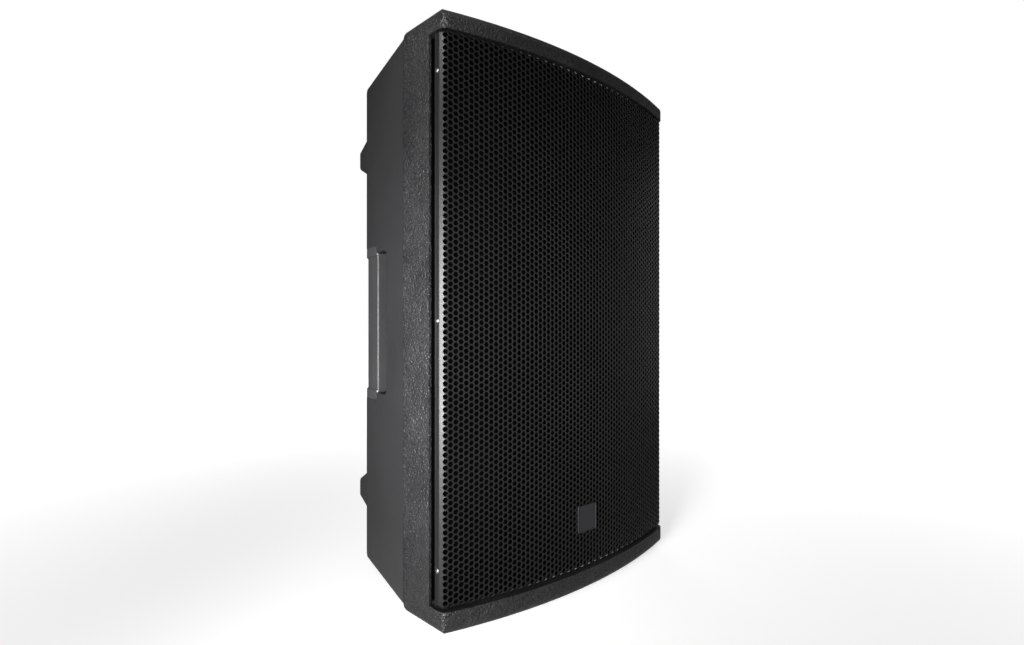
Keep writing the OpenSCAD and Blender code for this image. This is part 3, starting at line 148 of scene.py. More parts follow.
@dataclass(frozen=True)
class Finish:
    """A real material, how its surface was made, and what that gives the eye.

    Sizes are the real ones in millimetres. colour varies softly to shade over patches, and also on the relief's raised
    parts, which paints shade into the hollows and, where shade is the lighter colour, painted highlight on the tops.
    """

    name: str
    colour: str
    shade: str
    rough: float
    rough_spread: float = 0.08
    metallic: float = 0.0
    grain: Grain = Grain.SMOOTH
    grain_mm: float = 1.0
    depth_mm: float = 0.02
    patch_mm: float = 60.0
    coat: float = 0.0
    sheen: float = 0.0
    glow: float = 0.0
    specular: float = 0.5
    stretch: Place = (1.0, 1.0, 1.0)

    def relief(self, tree: Tree, place: Socket) -> Socket:
        """Adds the nodes of the fine relief.

        Args:
            tree: the material's node tree.
            place: the object coordinates, stretched along the grain's run.

        Returns:
            The output socket with the relief's height, from 0 to 1.
        """
        scale = 1 / (self.grain_mm * MM)
        if self.grain is Grain.LEATHER:
            drift = add_node(tree, "TexNoise", {"Vector": place, "Scale": scale * 0.45, "Detail": 3.0})
            cells = add_node(tree, "TexVoronoi", {"Vector": place, "Scale": scale}, feature="SMOOTH_F1")
            both = add_node(tree, "Math", {0: cells.outputs["Distance"], 1: drift.outputs["Fac"]}, operation="ADD")
            shaped = {"Value": both.outputs[0], "From Min": 0.55, "From Max": 1.25}
            return add_node(tree, "MapRange", shaped, clamp=True).outputs["Result"]
        if self.grain is Grain.CELLS:
            cells = add_node(tree, "TexVoronoi", {"Vector": place, "Scale": scale}, feature="DISTANCE_TO_EDGE")
            return cells.outputs["Distance"]
        if self.grain is Grain.WOVEN:
            wave = {"Vector": place, "Scale": scale * ONE_BAND, "Distortion": 0.6}
            threads = [add_node(tree, "TexWave", wave, bands_direction=axis) for axis in ("X", "Z")]
            crossed = {0: threads[0].outputs["Fac"], 1: threads[1].outputs["Fac"]}
            return add_node(tree, "Math", crossed, operation="MULTIPLY").outputs[0]
        if self.grain is Grain.WOUND:
            turns = add_node(tree, "TexWave", {"Vector": place, "Scale": scale * ONE_BAND}, bands_direction="Y")
            return turns.outputs["Fac"]
        detail = 6.0 if self.grain is Grain.BRUSHED else 2.0
        noise = add_node(tree, "TexNoise", {"Vector": place, "Scale": scale, "Detail": detail, "Roughness": 0.55})
        return noise.outputs["Fac"]

    def material(self) -> bpy.types.Material:
        """Builds the node material, or finds it if another piece has it already."""
        if self.name in bpy.data.materials:
            return bpy.data.materials[self.name]
        made = bpy.data.materials.new(self.name)
        tree = blank_tree(made)
        where = add_node(tree, "TexCoord")
        place = add_node(tree, "Mapping", {"Vector": where.outputs["Object"], "Scale": self.stretch})
        height = self.relief(tree, place.outputs[0])
        broad = {"Vector": where.outputs["Object"], "Scale": 1 / (self.patch_mm * MM), "Detail": 4.0, "Roughness": 0.6}
        patches = add_node(tree, "TexNoise", broad).outputs["Fac"]
        # Painted shade: the relief's height also moves the colour towards shade, so the hollows are painted darker and,
        # where shade is the lighter colour, the raised parts are painted lighter; the patches are what moulding and
        # handling leave
        tone_and_painted_shade = add_node(tree, "Math", {0: patches, 1: height}, operation="MULTIPLY")
        colours = {0: tone_and_painted_shade.outputs[0], 6: linear(self.colour), 7: linear(self.shade)}
        tint = add_node(tree, "Mix", colours, data_type="RGBA", clamp_factor=True)
        low, high = self.rough - self.rough_spread, self.rough + self.rough_spread
        ramp = {"Value": patches, "From Min": 0.3, "From Max": 0.7, "To Min": low, "To Max": high}
        dull = add_node(tree, "MapRange", ramp)
        bump = add_node(tree, "Bump", {"Height": height, "Distance": self.depth_mm * MM, "Strength": 1.0})
        shader = add_node(
            tree,
            "BsdfPrincipled",
            {
                "Base Color": tint.outputs[2],
                "Roughness": dull.outputs["Result"],
                "Metallic": self.metallic,
                "Normal": bump.outputs["Normal"],
                "Specular IOR Level": self.specular,
                "Coat Weight": self.coat,
                "Coat Roughness": 0.15,
                "Sheen Weight": self.sheen,
                "Emission Strength": self.glow,
                "Emission Color": linear(self.colour),
            },
        )
        add_node(tree, "OutputMaterial", {"Surface": shader.outputs[0]})
        return made


# Injection-moulded ABS in a coarsely etched mould: a dull black with small pebbles, their tops painted much lighter as
# painted highlight and their hollows dark as painted shade, over the real relief
COARSE_ABS = Finish(
    "abs_coarse_etched", "#0c0c0d", "#2e2e2f", 0.44, 0.04, 0.0, Grain.LEATHER, 2.0, 0.9, specular=0.32
)
# The same plastic from a finely etched mould: smoother, so it shows a broad soft sheen
FINE_ABS = Finish(
    "abs_fine_etched", "#19191a", "#232324", 0.46, 0.04, 0.0, Grain.LEATHER, 0.8, 0.06, specular=0.35
)
# Glass-filled nylon with a light spark-eroded texture, for the grip bars and the pole socket
NYLON = Finish("glass_filled_nylon", "#262627", "#343435", 0.42, 0.05, 0.0, Grain.PEEL, 0.5, 0.03)
# Powder-coated steel sheet: a half-gloss black with a faint orange peel
POWDER_COAT = Finish(
    "powder_coated_steel", "#111111", "#171717", 0.4, 0.04, 0.0, Grain.PEEL, 0.8, 0.01, specular=0.17
)
# Reticulated polyurethane foam, black all through, so it swallows light
OPEN_FOAM = Finish("reticulated_foam", "#020202", "#040404", 0.95, 0.03, 0.0, Grain.CELLS, 1.2, 0.4, specular=0.0)
# Zinc-plated steel, bright and slightly cloudy
ZINC = Finish(
    "zinc_plated_steel", "#b9bcc0", "#8f9398", 0.28, 0.08, 1.0, Grain.BRUSHED, 0.4, 0.01, stretch=(1.0, 6.0, 1.0)
)
# Galvanised sheet of the amplifier's inner box
SHEET_ZINC = Finish("galvanised_sheet", "#aeb2b5", "#8b9094", 0.4, 0.08, 1.0, Grain.PEEL, 6.0, 0.02)
# Black anodised aluminium, satin, with the marks of the extrusion along its fins
BLACK_ANODISED = Finish(
    "black_anodised_aluminium", "#1b1c1e", "#26272a", 0.36, 0.05, 0.35, Grain.BRUSHED, 1.0, 0.01,
    stretch=(8.0, 1.0, 0.15),
)
# Powder-coated aluminium front of the amplifier, fine and matt
PANEL_COAT = Finish("powder_coated_panel", "#19191a", "#212122", 0.5, 0.05, 0.0, Grain.PEEL, 0.6, 0.04)
# Satin anodised plate of the badge, bare
DARK_PLATE = Finish(
    "dark_anodised_plate", "#2c2c2e", "#363638", 0.36, 0.04, 0.5, Grain.BRUSHED, 0.5, 0.004, stretch=(1.0, 1.0, 10.0)
)
# Vulcanised rubber, matt, with a dusty bloom
RUBBER = Finish("vulcanised_rubber", "#141414", "#1f1f1f", 0.78, 0.06, 0.0, Grain.PEEL, 0.9, 0.03)
# Sand-cast aluminium, painted dark grey
CAST_PAINTED = Finish("cast_aluminium_painted", "#35383b", "#43474a", 0.5, 0.06, 0.0, Grain.PEEL, 1.5, 0.08)
# Pressed paper pulp of the cone, with short fibres
PAPER = Finish("pressed_paper_pulp", "#161616", "#222222", 0.8, 0.05, 0.0, Grain.PEEL, 0.7, 0.1, sheen=0.1)
# Cloth stiffened with resin, for the surround
DOPED_CLOTH = Finish("doped_cloth", "#0f0f0f", "#181818", 0.6, 0.05, 0.0, Grain.WOVEN, 0.8, 0.06)
# Yellow resin-stiffened cotton of the spider
SPIDER_CLOTH = Finish("resin_cotton", "#c39a50", "#a67f3a", 0.75, 0.05, 0.0, Grain.WOVEN, 0.8, 0.08)
# Enamelled copper wire, wound side by side
COPPER = Finish("enamelled_copper", "#b4693a", "#8f4d26", 0.3, 0.05, 0.9, Grain.WOUND, 0.6, 0.05)
# Sintered ferrite: charcoal grey, ground flat
FERRITE = Finish("sintered_ferrite", "#333436", "#3f4042", 0.55, 0.08, 0.0, Grain.PEEL, 1.2, 0.03)
# Phenolic board of the woofer's terminals
PHENOLIC = Finish("phenolic_board", "#c9b98c", "#b3a174", 0.55, 0.06, 0.0, Grain.PEEL, 0.8, 0.01)
# Smooth injection-moulded plastic of the horn, the ports and small parts
SMOOTH_ABS = Finish("abs_smooth", "#1a1b1c", "#232425", 0.38, 0.06, 0.0, Grain.PEEL, 2.5, 0.01)
# Soft-touch paint on the knobs
SOFT_TOUCH = Finish("soft_touch_paint", "#242425", "#2d2d2e", 0.6, 0.05, 0.0, Grain.PEEL, 0.35, 0.01)
# Red glossy plastic of the button and the rocker
RED_GLOSS = Finish("polished_red_plastic", "#8f1d1a", "#a32622", 0.22, 0.04, coat=0.2, depth_mm=0.003)
# White epoxy ink, silk-screened
INK = Finish("screen_ink", "#d4d4d2", "#c4c4c2", 0.55, 0.04, depth_mm=0.003)
# Green solder resist over glass fibre
RESIST = Finish("solder_resist", "#1c5a34", "#17492b", 0.35, 0.05, 0.0, Grain.WOVEN, 0.7, 0.01, coat=0.3)
# Blue shrunk sleeve of the capacitors
SLEEVE = Finish("shrunk_sleeve", "#1e2f4c", "#26395a", 0.3, 0.05, depth_mm=0.005)
# Bright nickel plating of contacts and latches
NICKEL = Finish("nickel_plate", "#c9c6bf", "#aeaba4", 0.16, 0.05, 1.0, depth_mm=0.003)
# Diffusing green lens of the lamps
LENS = Finish("diffusing_green_lens", "#3fae4c", "#54c362", 0.3, 0.05, depth_mm=0.003, glow=0.4)
# Formed titanium foil
FOIL = Finish("titanium_foil", "#b4bac0", "#9da3aa", 0.3, 0.08, 1.0, depth_mm=0.01)


# ---------------------------------------------------------------- modelling


@contextmanager
def editing(piece: Piece, action: str = "DESELECT", mode: str = "VERT") -> Iterator[bmesh.types.BMesh]:
    """Opens a piece in edit mode, and closes it after.

    Args:
        piece: the mesh object to shape.
        action: "SELECT" to start with all of it selected, "DESELECT" with nothing.
        mode: what is selected: VERT, EDGE or FACE.

    Yields:
        The edit mesh, to select in. Selections reach the operators once flush() has run.
    """
    select(piece)
    bpy.ops.object.mode_set(mode="EDIT")
    bpy.ops.mesh.select_mode(type=mode)
    bpy.ops.mesh.select_all(action=action)
    yield bmesh.from_edit_mesh(piece.data)
    bpy.ops.object.mode_set(mode="OBJECT")


def flush(piece: Piece, mesh: bmesh.types.BMesh) -> None:
    """Passes a selection or moved points made in code on to the operators."""
    mesh.select_flush_mode()
    bmesh.update_edit_mesh(piece.data)


def select(*pieces: Piece) -> None:
    """Selects only these pieces and makes the last one active."""
    if bpy.context.object and bpy.context.object.mode != "OBJECT":
        bpy.ops.object.mode_set(mode="OBJECT")
    bpy.ops.object.select_all(action="DESELECT")
    for piece in pieces:
        piece.select_set(True)
        bpy.context.view_layer.objects.active = piece


def new_piece(name: str) -> Piece:
    """Names the primitive that was just added, and puts its place in its mesh."""
    piece = bpy.context.object
    piece.name = piece.data.name = name
    select(piece)
    bpy.ops.object.transform_apply(location=True, rotation=True, scale=True)
    return piece


def block(name: str, at: Sequence[float], size: Sequence[float], turn: float = 0.0) -> Piece:
    """Adds a box with this middle and size, turned by an angle in radians about Z."""
    select()
    bpy.ops.mesh.primitive_cube_add(size=1, location=at, scale=size, rotation=(0, 0, turn))
    return new_piece(name)


def outline(name: str, points: Sequence[Place], closed: bool = True) -> Piece:
    """Draws an outline by extruding one point along it.

    Args:
        name: the piece's name.
        points: the outline's corners.
        closed: whether it is closed and filled, or an open line.

    Returns:
        The new piece.
    """
    select()
    bpy.ops.mesh.primitive_plane_add(size=1, location=(0, 0, 0))
    piece = new_piece(name)
    with editing(piece, "SELECT"):
        bpy.ops.mesh.merge(type="CENTER")
        here = Vector((0, 0, 0))
        for i, point in enumerate(points):
            step = Vector(point) - here
            here = Vector(point)
            if i == 0:
                bpy.ops.transform.translate(value=step)
            else:
                bpy.ops.mesh.extrude_vertices_move(TRANSFORM_OT_translate={"value": step})
        if closed:
            bpy.ops.mesh.select_all(action="SELECT")
            bpy.ops.mesh.edge_face_add()
    return piece


def lathe(
    name: str, profile: Sequence[Point], centre: Sequence[float], axis: Sequence[float], steps: int = 32
) -> Piece:
    """Spins a profile into a round piece.

    Args:
        name: the piece's name.
        profile: pairs of radius and distance along the axis, from one pole to the other.
        centre: the point of the axis at distance 0.
        axis: the direction that distances run in.
        steps: how many sides the turn has.

    Returns:
        The new piece, closed and facing outwards.
    """
    along = Vector(axis).normalized()
    across = along.orthogonal().normalized()
    start = Vector(centre)
    piece = outline(name, [tuple(start + across * r + along * h) for r, h in profile], closed=False)
    with editing(piece, "SELECT"):
        bpy.ops.mesh.spin(steps=steps, angle=2 * math.pi, center=start, axis=along)
        bpy.ops.mesh.select_all(action="SELECT")
        bpy.ops.mesh.remove_doubles(threshold=1e-6)
        bpy.ops.mesh.normals_make_consistent(inside=False)
    return piece


def outwards(piece: Piece) -> None:
    """Turns all faces of a closed piece outwards."""
    with editing(piece, "SELECT"):
        bpy.ops.mesh.normals_make_consistent(inside=False)


def modify(piece: Piece, kind: str, **settings: object) -> None:
    """Adds a modifier with these settings and applies it."""
    made = piece.modifiers.new(kind.lower(), kind)
    for name, value in settings.items():
        setattr(made, name, value)
    select(piece)
    bpy.ops.object.modifier_apply(modifier=made.name)


def bevel(piece: Piece, width: float, segments: int = 2, angle: float = 35.0) -> None:
    """Rounds the sharp edges of a piece.

    Args:
        piece: the piece.
        width: the bevel's width.
        segments: how many faces each edge gets.
        angle: edges sharper than this many degrees are rounded.
    """
    how = {"limit_method": "ANGLE", "angle_limit": math.radians(angle), "use_clamp_overlap": True}
    modify(piece, "BEVEL", width=width, segments=segments, miter_outer="MITER_ARC", **how)


def smooth(piece: Piece, angle: float = 40.0, weighted: bool = True) -> None:
    """Shades a piece smooth across edges flatter than an angle.

    Args:
        piece: the piece.
        angle: the limit in degrees.
        weighted: whether large faces keep their own flat shading up to their edges.
    """
    select(piece)
    bpy.ops.object.shade_smooth_by_angle(angle=math.radians(angle))
    if weighted:
        modify(piece, "WEIGHTED_NORMAL", keep_sharp=True, mode="FACE_AREA", weight=80)


def join(name: str, pieces: Sequence[Piece]) -> Piece:
    """Joins pieces into one with this name."""
    select(*pieces)
    bpy.ops.object.join()
    piece = bpy.context.object
    piece.name = piece.data.name = name
    return piece


def copy_piece(piece: Piece, move: Matrix | None = None) -> Piece:
    """Copies a piece with its own mesh.

    Args:
        piece: the piece to copy.
        move: where the copy goes, from where the piece is.

    Returns:
        The copy.
    """
    made = piece.copy()
    made.data = piece.data.copy()
    bpy.context.scene.collection.objects.link(made)
    if move is not None:
        made.data.transform(move)
        if move.determinant() < 0:
            with editing(made, "SELECT"):
                bpy.ops.mesh.flip_normals()
    return made


def mirrored(piece: Piece) -> Piece:
    """Copies a piece to the other side of the cabinet."""
    return copy_piece(piece, Matrix.Scale(-1, 4, Vector((1, 0, 0))))


def islands(node: Piece) -> list[tuple[Vector, Vector]]:
    """Finds the separate solids of a CAD node.

    Args:
        node: the node.

    Returns:
        The lowest and highest corner of each.
    """
    mesh = bmesh.new()
    mesh.from_mesh(node.data)
    bmesh.ops.remove_doubles(mesh, verts=mesh.verts, dist=CAD_MERGE)
    left = set(mesh.verts)
    found = []
    while left:
        front = [left.pop()]
        points = []
        while front:
            point = front.pop()
            points.append(point.co.copy())
            near = {other for edge in point.link_edges for other in edge.verts} & left
            left -= near
            front += near
        found.append(tuple(Vector(pick(p[i] for p in points) for i in range(3)) for pick in (min, max)))
    mesh.free()
    return sorted(found, key=lambda box: tuple(round(c, 5) for c in box[0]))


def dress(piece: Piece, finish: Finish, body: str = ROOT, stands_for: Sequence[str] = ()) -> Piece:
    """Gives a finished piece its material, its body and the nodes it stands for.

    Args:
        piece: the piece.
        finish: its finish.
        body: the CAD body that it rides on.
        stands_for: CAD nodes that it replaces.

    Returns:
        The same piece.
    """
    piece.data.materials.clear()
    piece.data.materials.append(finish.material())
    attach(piece, body)
    if stands_for:
        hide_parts(*stands_for)
    LOG.info("%s: %d faces in %s", piece.name, len(piece.data.polygons), finish.name)
    return piece


# ---------------------------------------------------------------- pieces


@dataclass
class Casting:
    """A CAD part whose shape is right, as a clean moulded mesh with softened edges.

    Its triangles are merged back into the faces that they came from, so edges can be rounded.
    """

    node: str
    finish: Finish
    slot: str
    name: str
    edge: float = 0.0
    body: str = ROOT
    flat_angle: float = 0.4
    smooth_angle: float = 38.0

    def shape(self, piece: Piece) -> None:
        """Moves points of the merged mesh. A plain casting needs nothing."""

    def build(self, nodes: dict[str, Piece]) -> Piece:
        """Builds and dresses the piece.

        Args:
            nodes: the frame's CAD nodes by name.

        Returns:
            The finished piece.
        """
        made = nodes[self.node].copy()
        made.data = nodes[self.node].data.copy()
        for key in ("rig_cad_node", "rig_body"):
            if key in made:
                del made[key]
        made.parent = None
        made.matrix_world = Matrix.Identity(4)
        made.name = made.data.name = self.name
        bpy.context.scene.collection.objects.link(made)
        with editing(made, "SELECT"):
            bpy.ops.mesh.remove_doubles(threshold=CAD_MERGE)
            bpy.ops.mesh.customdata_custom_splitnormals_clear()
        self.shape(made)
        with editing(made, "SELECT"):
            bpy.ops.mesh.dissolve_limited(angle_limit=math.radians(self.flat_angle))
        if self.edge:
            bevel(made, self.edge, angle=40.0)
        smooth(made, self.smooth_angle)
        return dress(made, self.finish, self.body, [self.node])


@dataclass
class FrontMoulding(Casting):
    """The front shell, with the rims of its side walls set back so that the grille's flange shows."""

    rim_y: tuple[float, float] = (-0.1330, -0.1228)
    rim_x: float = 0.1958
    opening_z: tuple[float, float] = (0.0325, 0.6765)
    set_back: float = 0.009
    ledge: float = 0.004
    flare: float = 0.0012

    def shape(self, piece: Piece) -> None:
        """Moves the rims and the ledge behind them back along the flared side."""
        for point in piece.data.vertices:
            x, y, z = point.co
            in_rim = self.rim_y[0] < y < self.rim_y[1] and abs(x) > self.rim_x
            if in_rim and self.opening_z[0] < z < self.opening_z[1]:
                point.co.y += self.set_back
                if abs(x) > self.rim_x + self.ledge:
                    point.co.x += math.copysign(self.flare, x)


@dataclass
class Grille:
    """The perforated steel sheet: hexagonal holes in staggered columns over a curved front.

    The sheet is drawn flat. Its plan then follows the front's radius, a folded facet at each side and a straight
    flange, and its top and bottom edges curl back. The outermost holes run into the folds.
    """

    radius: float = 0.748
    centre_y: float = 0.575
    sheet: float = 0.0015
    pitch: float = 0.007134
    bar: float = 0.0014
    columns: int = 66
    rows: int = 89
    curl: float = 0.0035
    bend: float = 0.0018
    facet: float = 0.0075
    facet_turn: float = 0.85
    flange_x: float = 0.2032
    tuck_x: float = 0.1990
    step_y: float = -0.1341
    overlap: float = 0.0008
    back_y: float = -0.12715
    end_gap: float = 0.0006
    # Gap and depth of the black foam strips put in the grooves as painted shade
    shade_strip_gap: float = 0.0035
    shade_strip_depth: float = 0.003

    @property
    def column_step(self) -> float:
        """Distance between two columns of holes."""
        return self.pitch * math.cos(math.radians(30))

    @property
    def bend_turn(self) -> float:
        """Angle on the front's circle where the side fold begins."""
        facet_x = self.facet * math.cos(self.facet_turn)
        return math.asin((self.flange_x - self.bend - facet_x) / (self.radius - self.bend))

    @property
    def flange_reach(self) -> float:
        """Length along the flat sheet from its middle to the step behind the flange."""
        turn = self.bend_turn
        fold_y = self.centre_y - (self.radius - self.bend) * math.cos(turn) + self.facet * math.sin(self.facet_turn)
        folded = self.bend * (math.pi / 2 - turn) + self.facet
        return self.radius * turn + folded + self.step_y - self.overlap - fold_y

    def cell(self, at: Point) -> Piece:
        """One hexagonal cell: a ring of metal round a hole with walls."""
        select()
        bpy.ops.mesh.primitive_circle_add(
            vertices=6,
            radius=self.pitch / math.sqrt(3),
            fill_type="NGON",
            location=(at[0], 0, at[1]),
            rotation=(math.pi / 2, math.pi / 6, 0),
        )
        piece = new_piece("cell")
        with editing(piece, "SELECT"):
            bpy.ops.mesh.inset(thickness=self.bar / 2)
            bpy.ops.mesh.extrude_region_move(TRANSFORM_OT_translate={"value": (0, self.sheet, 0)})
            bpy.ops.mesh.delete(type="ONLY_FACE")
        return piece

    def lattice(self, first: Point, across: int, up: int) -> Piece:
        """Every second column of cells.

        Args:
            first: place of the lowest cell of the first column.
            across: number of columns.
            up: number of cells in each.

        Returns:
            The columns as one piece.
        """
        piece = self.cell(first)
        how = {"use_relative_offset": False, "use_constant_offset": True, "use_merge_vertices": True}
        for count, offset in ((up, (0, 0, self.pitch)), (across, (2 * self.column_step, 0, 0))):
            modify(piece, "ARRAY", count=count, constant_offset_displace=offset, merge_threshold=MERGE, **how)
        return piece

    def extend(self, piece: Piece, pick: Callable[[Vector], bool], axis: int, value: float) -> None:
        """Extrudes open front edges to a straight line.

        Args:
            piece: the flat sheet.
            pick: tells by its middle which open edge is taken.
            axis: the coordinate that the new points share.
            value: what that coordinate is.
        """
        with editing(piece, mode="EDGE") as mesh:
            for edge in mesh.edges:
                a, b = (v.co for v in edge.verts)
                if edge.is_boundary and a.y < MERGE and b.y < MERGE and pick((a + b) / 2):
                    edge.select_set(True)
            flush(piece, mesh)
            bpy.ops.mesh.extrude_edges_move(TRANSFORM_OT_translate={"value": (0, 0, 0)})
            for point in mesh.verts:
                if point.select:
                    point.co[axis] = value
            flush(piece, mesh)

    def wrap(self, point: Vector, middle: float, half: float) -> Vector:
        """Moves a point of the flat sheet to its place on the curled, curved and folded one."""
        depth, height = point.y, abs(point.z)
        over = height - (half - self.curl)
        if over > 0:
            turn = min(over / self.curl, math.pi / 2)
            past = max(0.0, over - self.curl * math.pi / 2)
            height = half - self.curl + (self.curl - depth) * math.sin(turn)
            depth = self.curl - (self.curl - depth) * math.cos(turn) + past
        along, start = abs(point.x), self.bend_turn
        if along <= self.radius * start:
            turn = along / self.radius
            x = (self.radius - depth) * math.sin(turn)
            y = self.centre_y - (self.radius - depth) * math.cos(turn)
        else:
            along -= self.radius * start
            first = self.bend * (self.facet_turn - start)
            flat = min(max(along - first, 0.0), self.facet)
            turn = min(start + (along - flat) / self.bend, math.pi / 2)
            past = max(0.0, along - flat - self.bend * (math.pi / 2 - start))
            x = (self.radius - self.bend) * math.sin(start) + (self.bend - depth) * math.sin(turn)
            y = self.centre_y - (self.radius - self.bend) * math.cos(start) - (self.bend - depth) * math.cos(turn)
            x += flat * math.cos(self.facet_turn)
            y += past + flat * math.sin(self.facet_turn)
        return Vector((math.copysign(x, point.x), y, middle + math.copysign(height, point.z)))

    def perforated(self, middle: float, half: float) -> Piece:
        """The perforated sheet with its folds and curls.

        Args:
            middle: height of the sheet's middle.
            half: half its height.

        Returns:
            The sheet, wrapped.
        """
        low = -(self.rows - 1) / 2 * self.pitch
        left = -(self.columns - 1) / 2 * self.column_step
        outer = self.lattice((left, low), (self.columns + 1) // 2, self.rows)
        inner = self.lattice((left + self.column_step, low - self.pitch / 2), self.columns // 2, self.rows + 1)
        sheet = join("grille_perforated_sheet", [inner, outer])
        with editing(sheet, "SELECT"):
            bpy.ops.mesh.remove_doubles(threshold=MERGE)
        top = half + self.curl * (math.pi / 2 - 1) + 0.002
        first = -left + self.pitch / math.sqrt(3)
        last = self.flange_reach
        facet_end = self.radius * self.bend_turn + self.bend * (self.facet_turn - self.bend_turn) + self.facet
        bend_end = facet_end + self.bend * (math.pi / 2 - self.facet_turn)
        steps = [first + 0.0001, (first + facet_end) / 2, facet_end, (facet_end + bend_end) / 2, bend_end, last]
        side_z, end_z = -low + self.pitch, -low + self.pitch / 4
        for side in (-1, 1):
            reach = -left + self.pitch / math.sqrt(12) - 1e-4
            for step in steps:
                self.extend(sheet, lambda m, s=side, r=reach: s * m.x > r and abs(m.z) < side_z, 0, side * step)
                reach = step - MERGE
        for side in (-1, 1):
            self.extend(sheet, lambda m, s=side: s * m.z > end_z and abs(m.x) < last - MERGE, 2, side * top)
        for point in sheet.data.vertices:
            point.co = self.wrap(point.co, middle, half)
        return sheet

    def strip(self, name: str, plan: Sequence[Point], middle: float, half: float, closed: bool) -> Piece:
        """Draws a plan near the sheet's lower end and pulls it up to the upper one.

        Args:
            name: the piece's name.
            plan: the corners seen from above.
            middle: height of the sheet's middle.
            half: half its height.
            closed: whether the plan is a closed section, or an open line.

        Returns:
            The strip.
        """
        reach = half - self.end_gap
        piece = outline(name, [(x, y, middle - reach) for x, y in plan], closed)
        with editing(piece, "SELECT"):
            bpy.ops.mesh.extrude_region_move(TRANSFORM_OT_translate={"value": (0, 0, 2 * reach)})
        return piece

    def tuck(self, middle: float, half: float) -> Piece:
        """The right-hand step behind the flange, and the strip that takes the screws."""
        # From inside the flange's edge, across the step, and back along the screws' strip
        plan = [
            (self.flange_x, self.step_y - 0.0010),
            (self.flange_x - 0.0005, self.step_y),
            (self.tuck_x + 0.0004, self.step_y + 0.0022),
            (self.tuck_x, self.step_y + 0.003),
            (self.tuck_x, self.back_y),
        ]
        piece = self.strip("grille_tuck_right", plan, middle, half, closed=False)
        modify(piece, "SOLIDIFY", thickness=self.sheet, offset=1, use_even_offset=True)
        outwards(piece)
        smooth(piece, 50.0)
        return piece

    def shade_strip(self, middle: float, half: float) -> Piece:
        """The right-hand strip of black foam on the bottom of the groove: a dark sheet put in as painted shade, so the
        groove between rim and flange reads black.
        """
        inner, outer = self.tuck_x - 0.0005, self.flange_x - 0.0009
        front = self.back_y + self.shade_strip_gap
        back = front + self.shade_strip_depth
        plan = [(inner, back), (outer, back), (outer, front), (inner, front)]
        piece = self.strip("grille_seal_right", plan, middle, half, closed=True)
        outwards(piece)
        bevel(piece, 0.0007)
        return piece

    def build(self) -> None:
        """Builds and dresses the sheet, its two tucked strips and the two black strips of painted shade in the grooves.
        """
        low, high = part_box("grille")
        middle, half = (low.z + high.z) / 2, (high.z - low.z) / 2
        sheet = self.perforated(middle, half)
        smooth(sheet, 30.0, weighted=False)
        dress(sheet, POWDER_COAT, stands_for=["grille"])
        # The second pair is the black foam strips put in the grooves as painted shade
        for make, finish, slot in ((self.tuck, POWDER_COAT, "grille"), (self.shade_strip, OPEN_FOAM, "grille_foam")):
            right = make(middle, half)
            left = mirrored(right)
            left.name = left.data.name = right.name.replace("right", "left")
            dress(right, finish)
            dress(left, finish)


@dataclass
class Badge:
    """A bare square plate with a narrow raised rim, riveted low on the grille."""

    corner: float = 0.002
    rim: float = 0.0012
    sink: float = 0.0005

    def build(self) -> None:
        """Builds and dresses the plate."""
        low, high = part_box("badge_plate")
        middle = (low + high) / 2
        plate = block("badge_blank_plate", middle, high - low)
        with editing(plate, mode="EDGE") as mesh:
            for edge in mesh.edges:
                a, b = (v.co for v in edge.verts)
                edge.select_set(abs(a.y - b.y) > 1e-4)
            flush(plate, mesh)
            bpy.ops.mesh.bevel(offset=self.corner, segments=4)
        with editing(plate, mode="FACE") as mesh:
            for face in mesh.faces:
                face.select_set(face.normal.y < -0.9)
            flush(plate, mesh)
            bpy.ops.mesh.inset(thickness=self.rim)
            bpy.ops.mesh.extrude_region_move(TRANSFORM_OT_translate={"value": (0, self.sink, 0)})
        bevel(plate, 0.0002)
        smooth(plate)
        dress(plate, DARK_PLATE, stands_for=["badge_plate"])


@dataclass
class PanHead:
    """A pan-head screw with a cross recess, modelled once and copied to each place.

    lift and ahead are how far further out and to the front it sits than the CAD's plain screw.
    """

    radius: float
    height: float
    shaft: float
    length: float
    lift: float = 0.0
    ahead: float = 0.0

    def model(self) -> Piece:
        """One screw with its head's underside at the origin, pointing along +Z."""
        r, h = self.radius, self.height
        dome = [(r * math.cos(math.radians(a)), h * (0.35 + 0.65 * math.sin(math.radians(a)))) for a in (0, 25, 50, 75)]
        profile = [
            (0.0, -self.length), (self.shaft, -self.length + self.shaft), (self.shaft, 0.0), (r, 0.0), *dome, (0.0, h),
        ]
        piece = lathe("screw", profile, (0, 0, 0), (0, 0, 1), 20)
        for turn in (0.0, math.pi / 2):
            cutter = block("cutter", (0, 0, h), (r * 1.15, r * 0.24, h * 0.9), turn)
            modify(piece, "BOOLEAN", operation="DIFFERENCE", object=cutter, solver="EXACT")
            bpy.data.objects.remove(cutter)
        return piece

    def place(self, name: str, node: Piece, axis: Sequence[float], finish: Finish) -> None:
        """Copies the screw to every place where the CAD has one, and joins the copies.

        Args:
            name: the joined piece's name.
            node: the CAD node with the plain screws.
            axis: the way the heads point. Along X it is away from the cabinet's middle.
            finish: the screws' finish.
        """
        model = self.model()
        copies = []
        for i, (low, high) in enumerate(islands(node)):
            middle = (low + high) / 2
            out = Vector(axis) * (math.copysign(1, middle.x) if axis[0] else 1)
            reach = sum(abs(o) * (h - m) for o, h, m in zip(out, high, middle, strict=True))
            at = middle + out * (reach - self.height + self.lift) - Vector((0, self.ahead, 0))
            turn = out.to_track_quat("Z", "Y").to_matrix().to_4x4()
            copies.append(copy_piece(model, Matrix.Translation(at) @ turn @ Matrix.Rotation(0.7 * i, 4, "Z")))
        bpy.data.objects.remove(model)
        piece = join(name, copies)
        smooth(piece)
        dress(piece, finish, stands_for=[node.name])


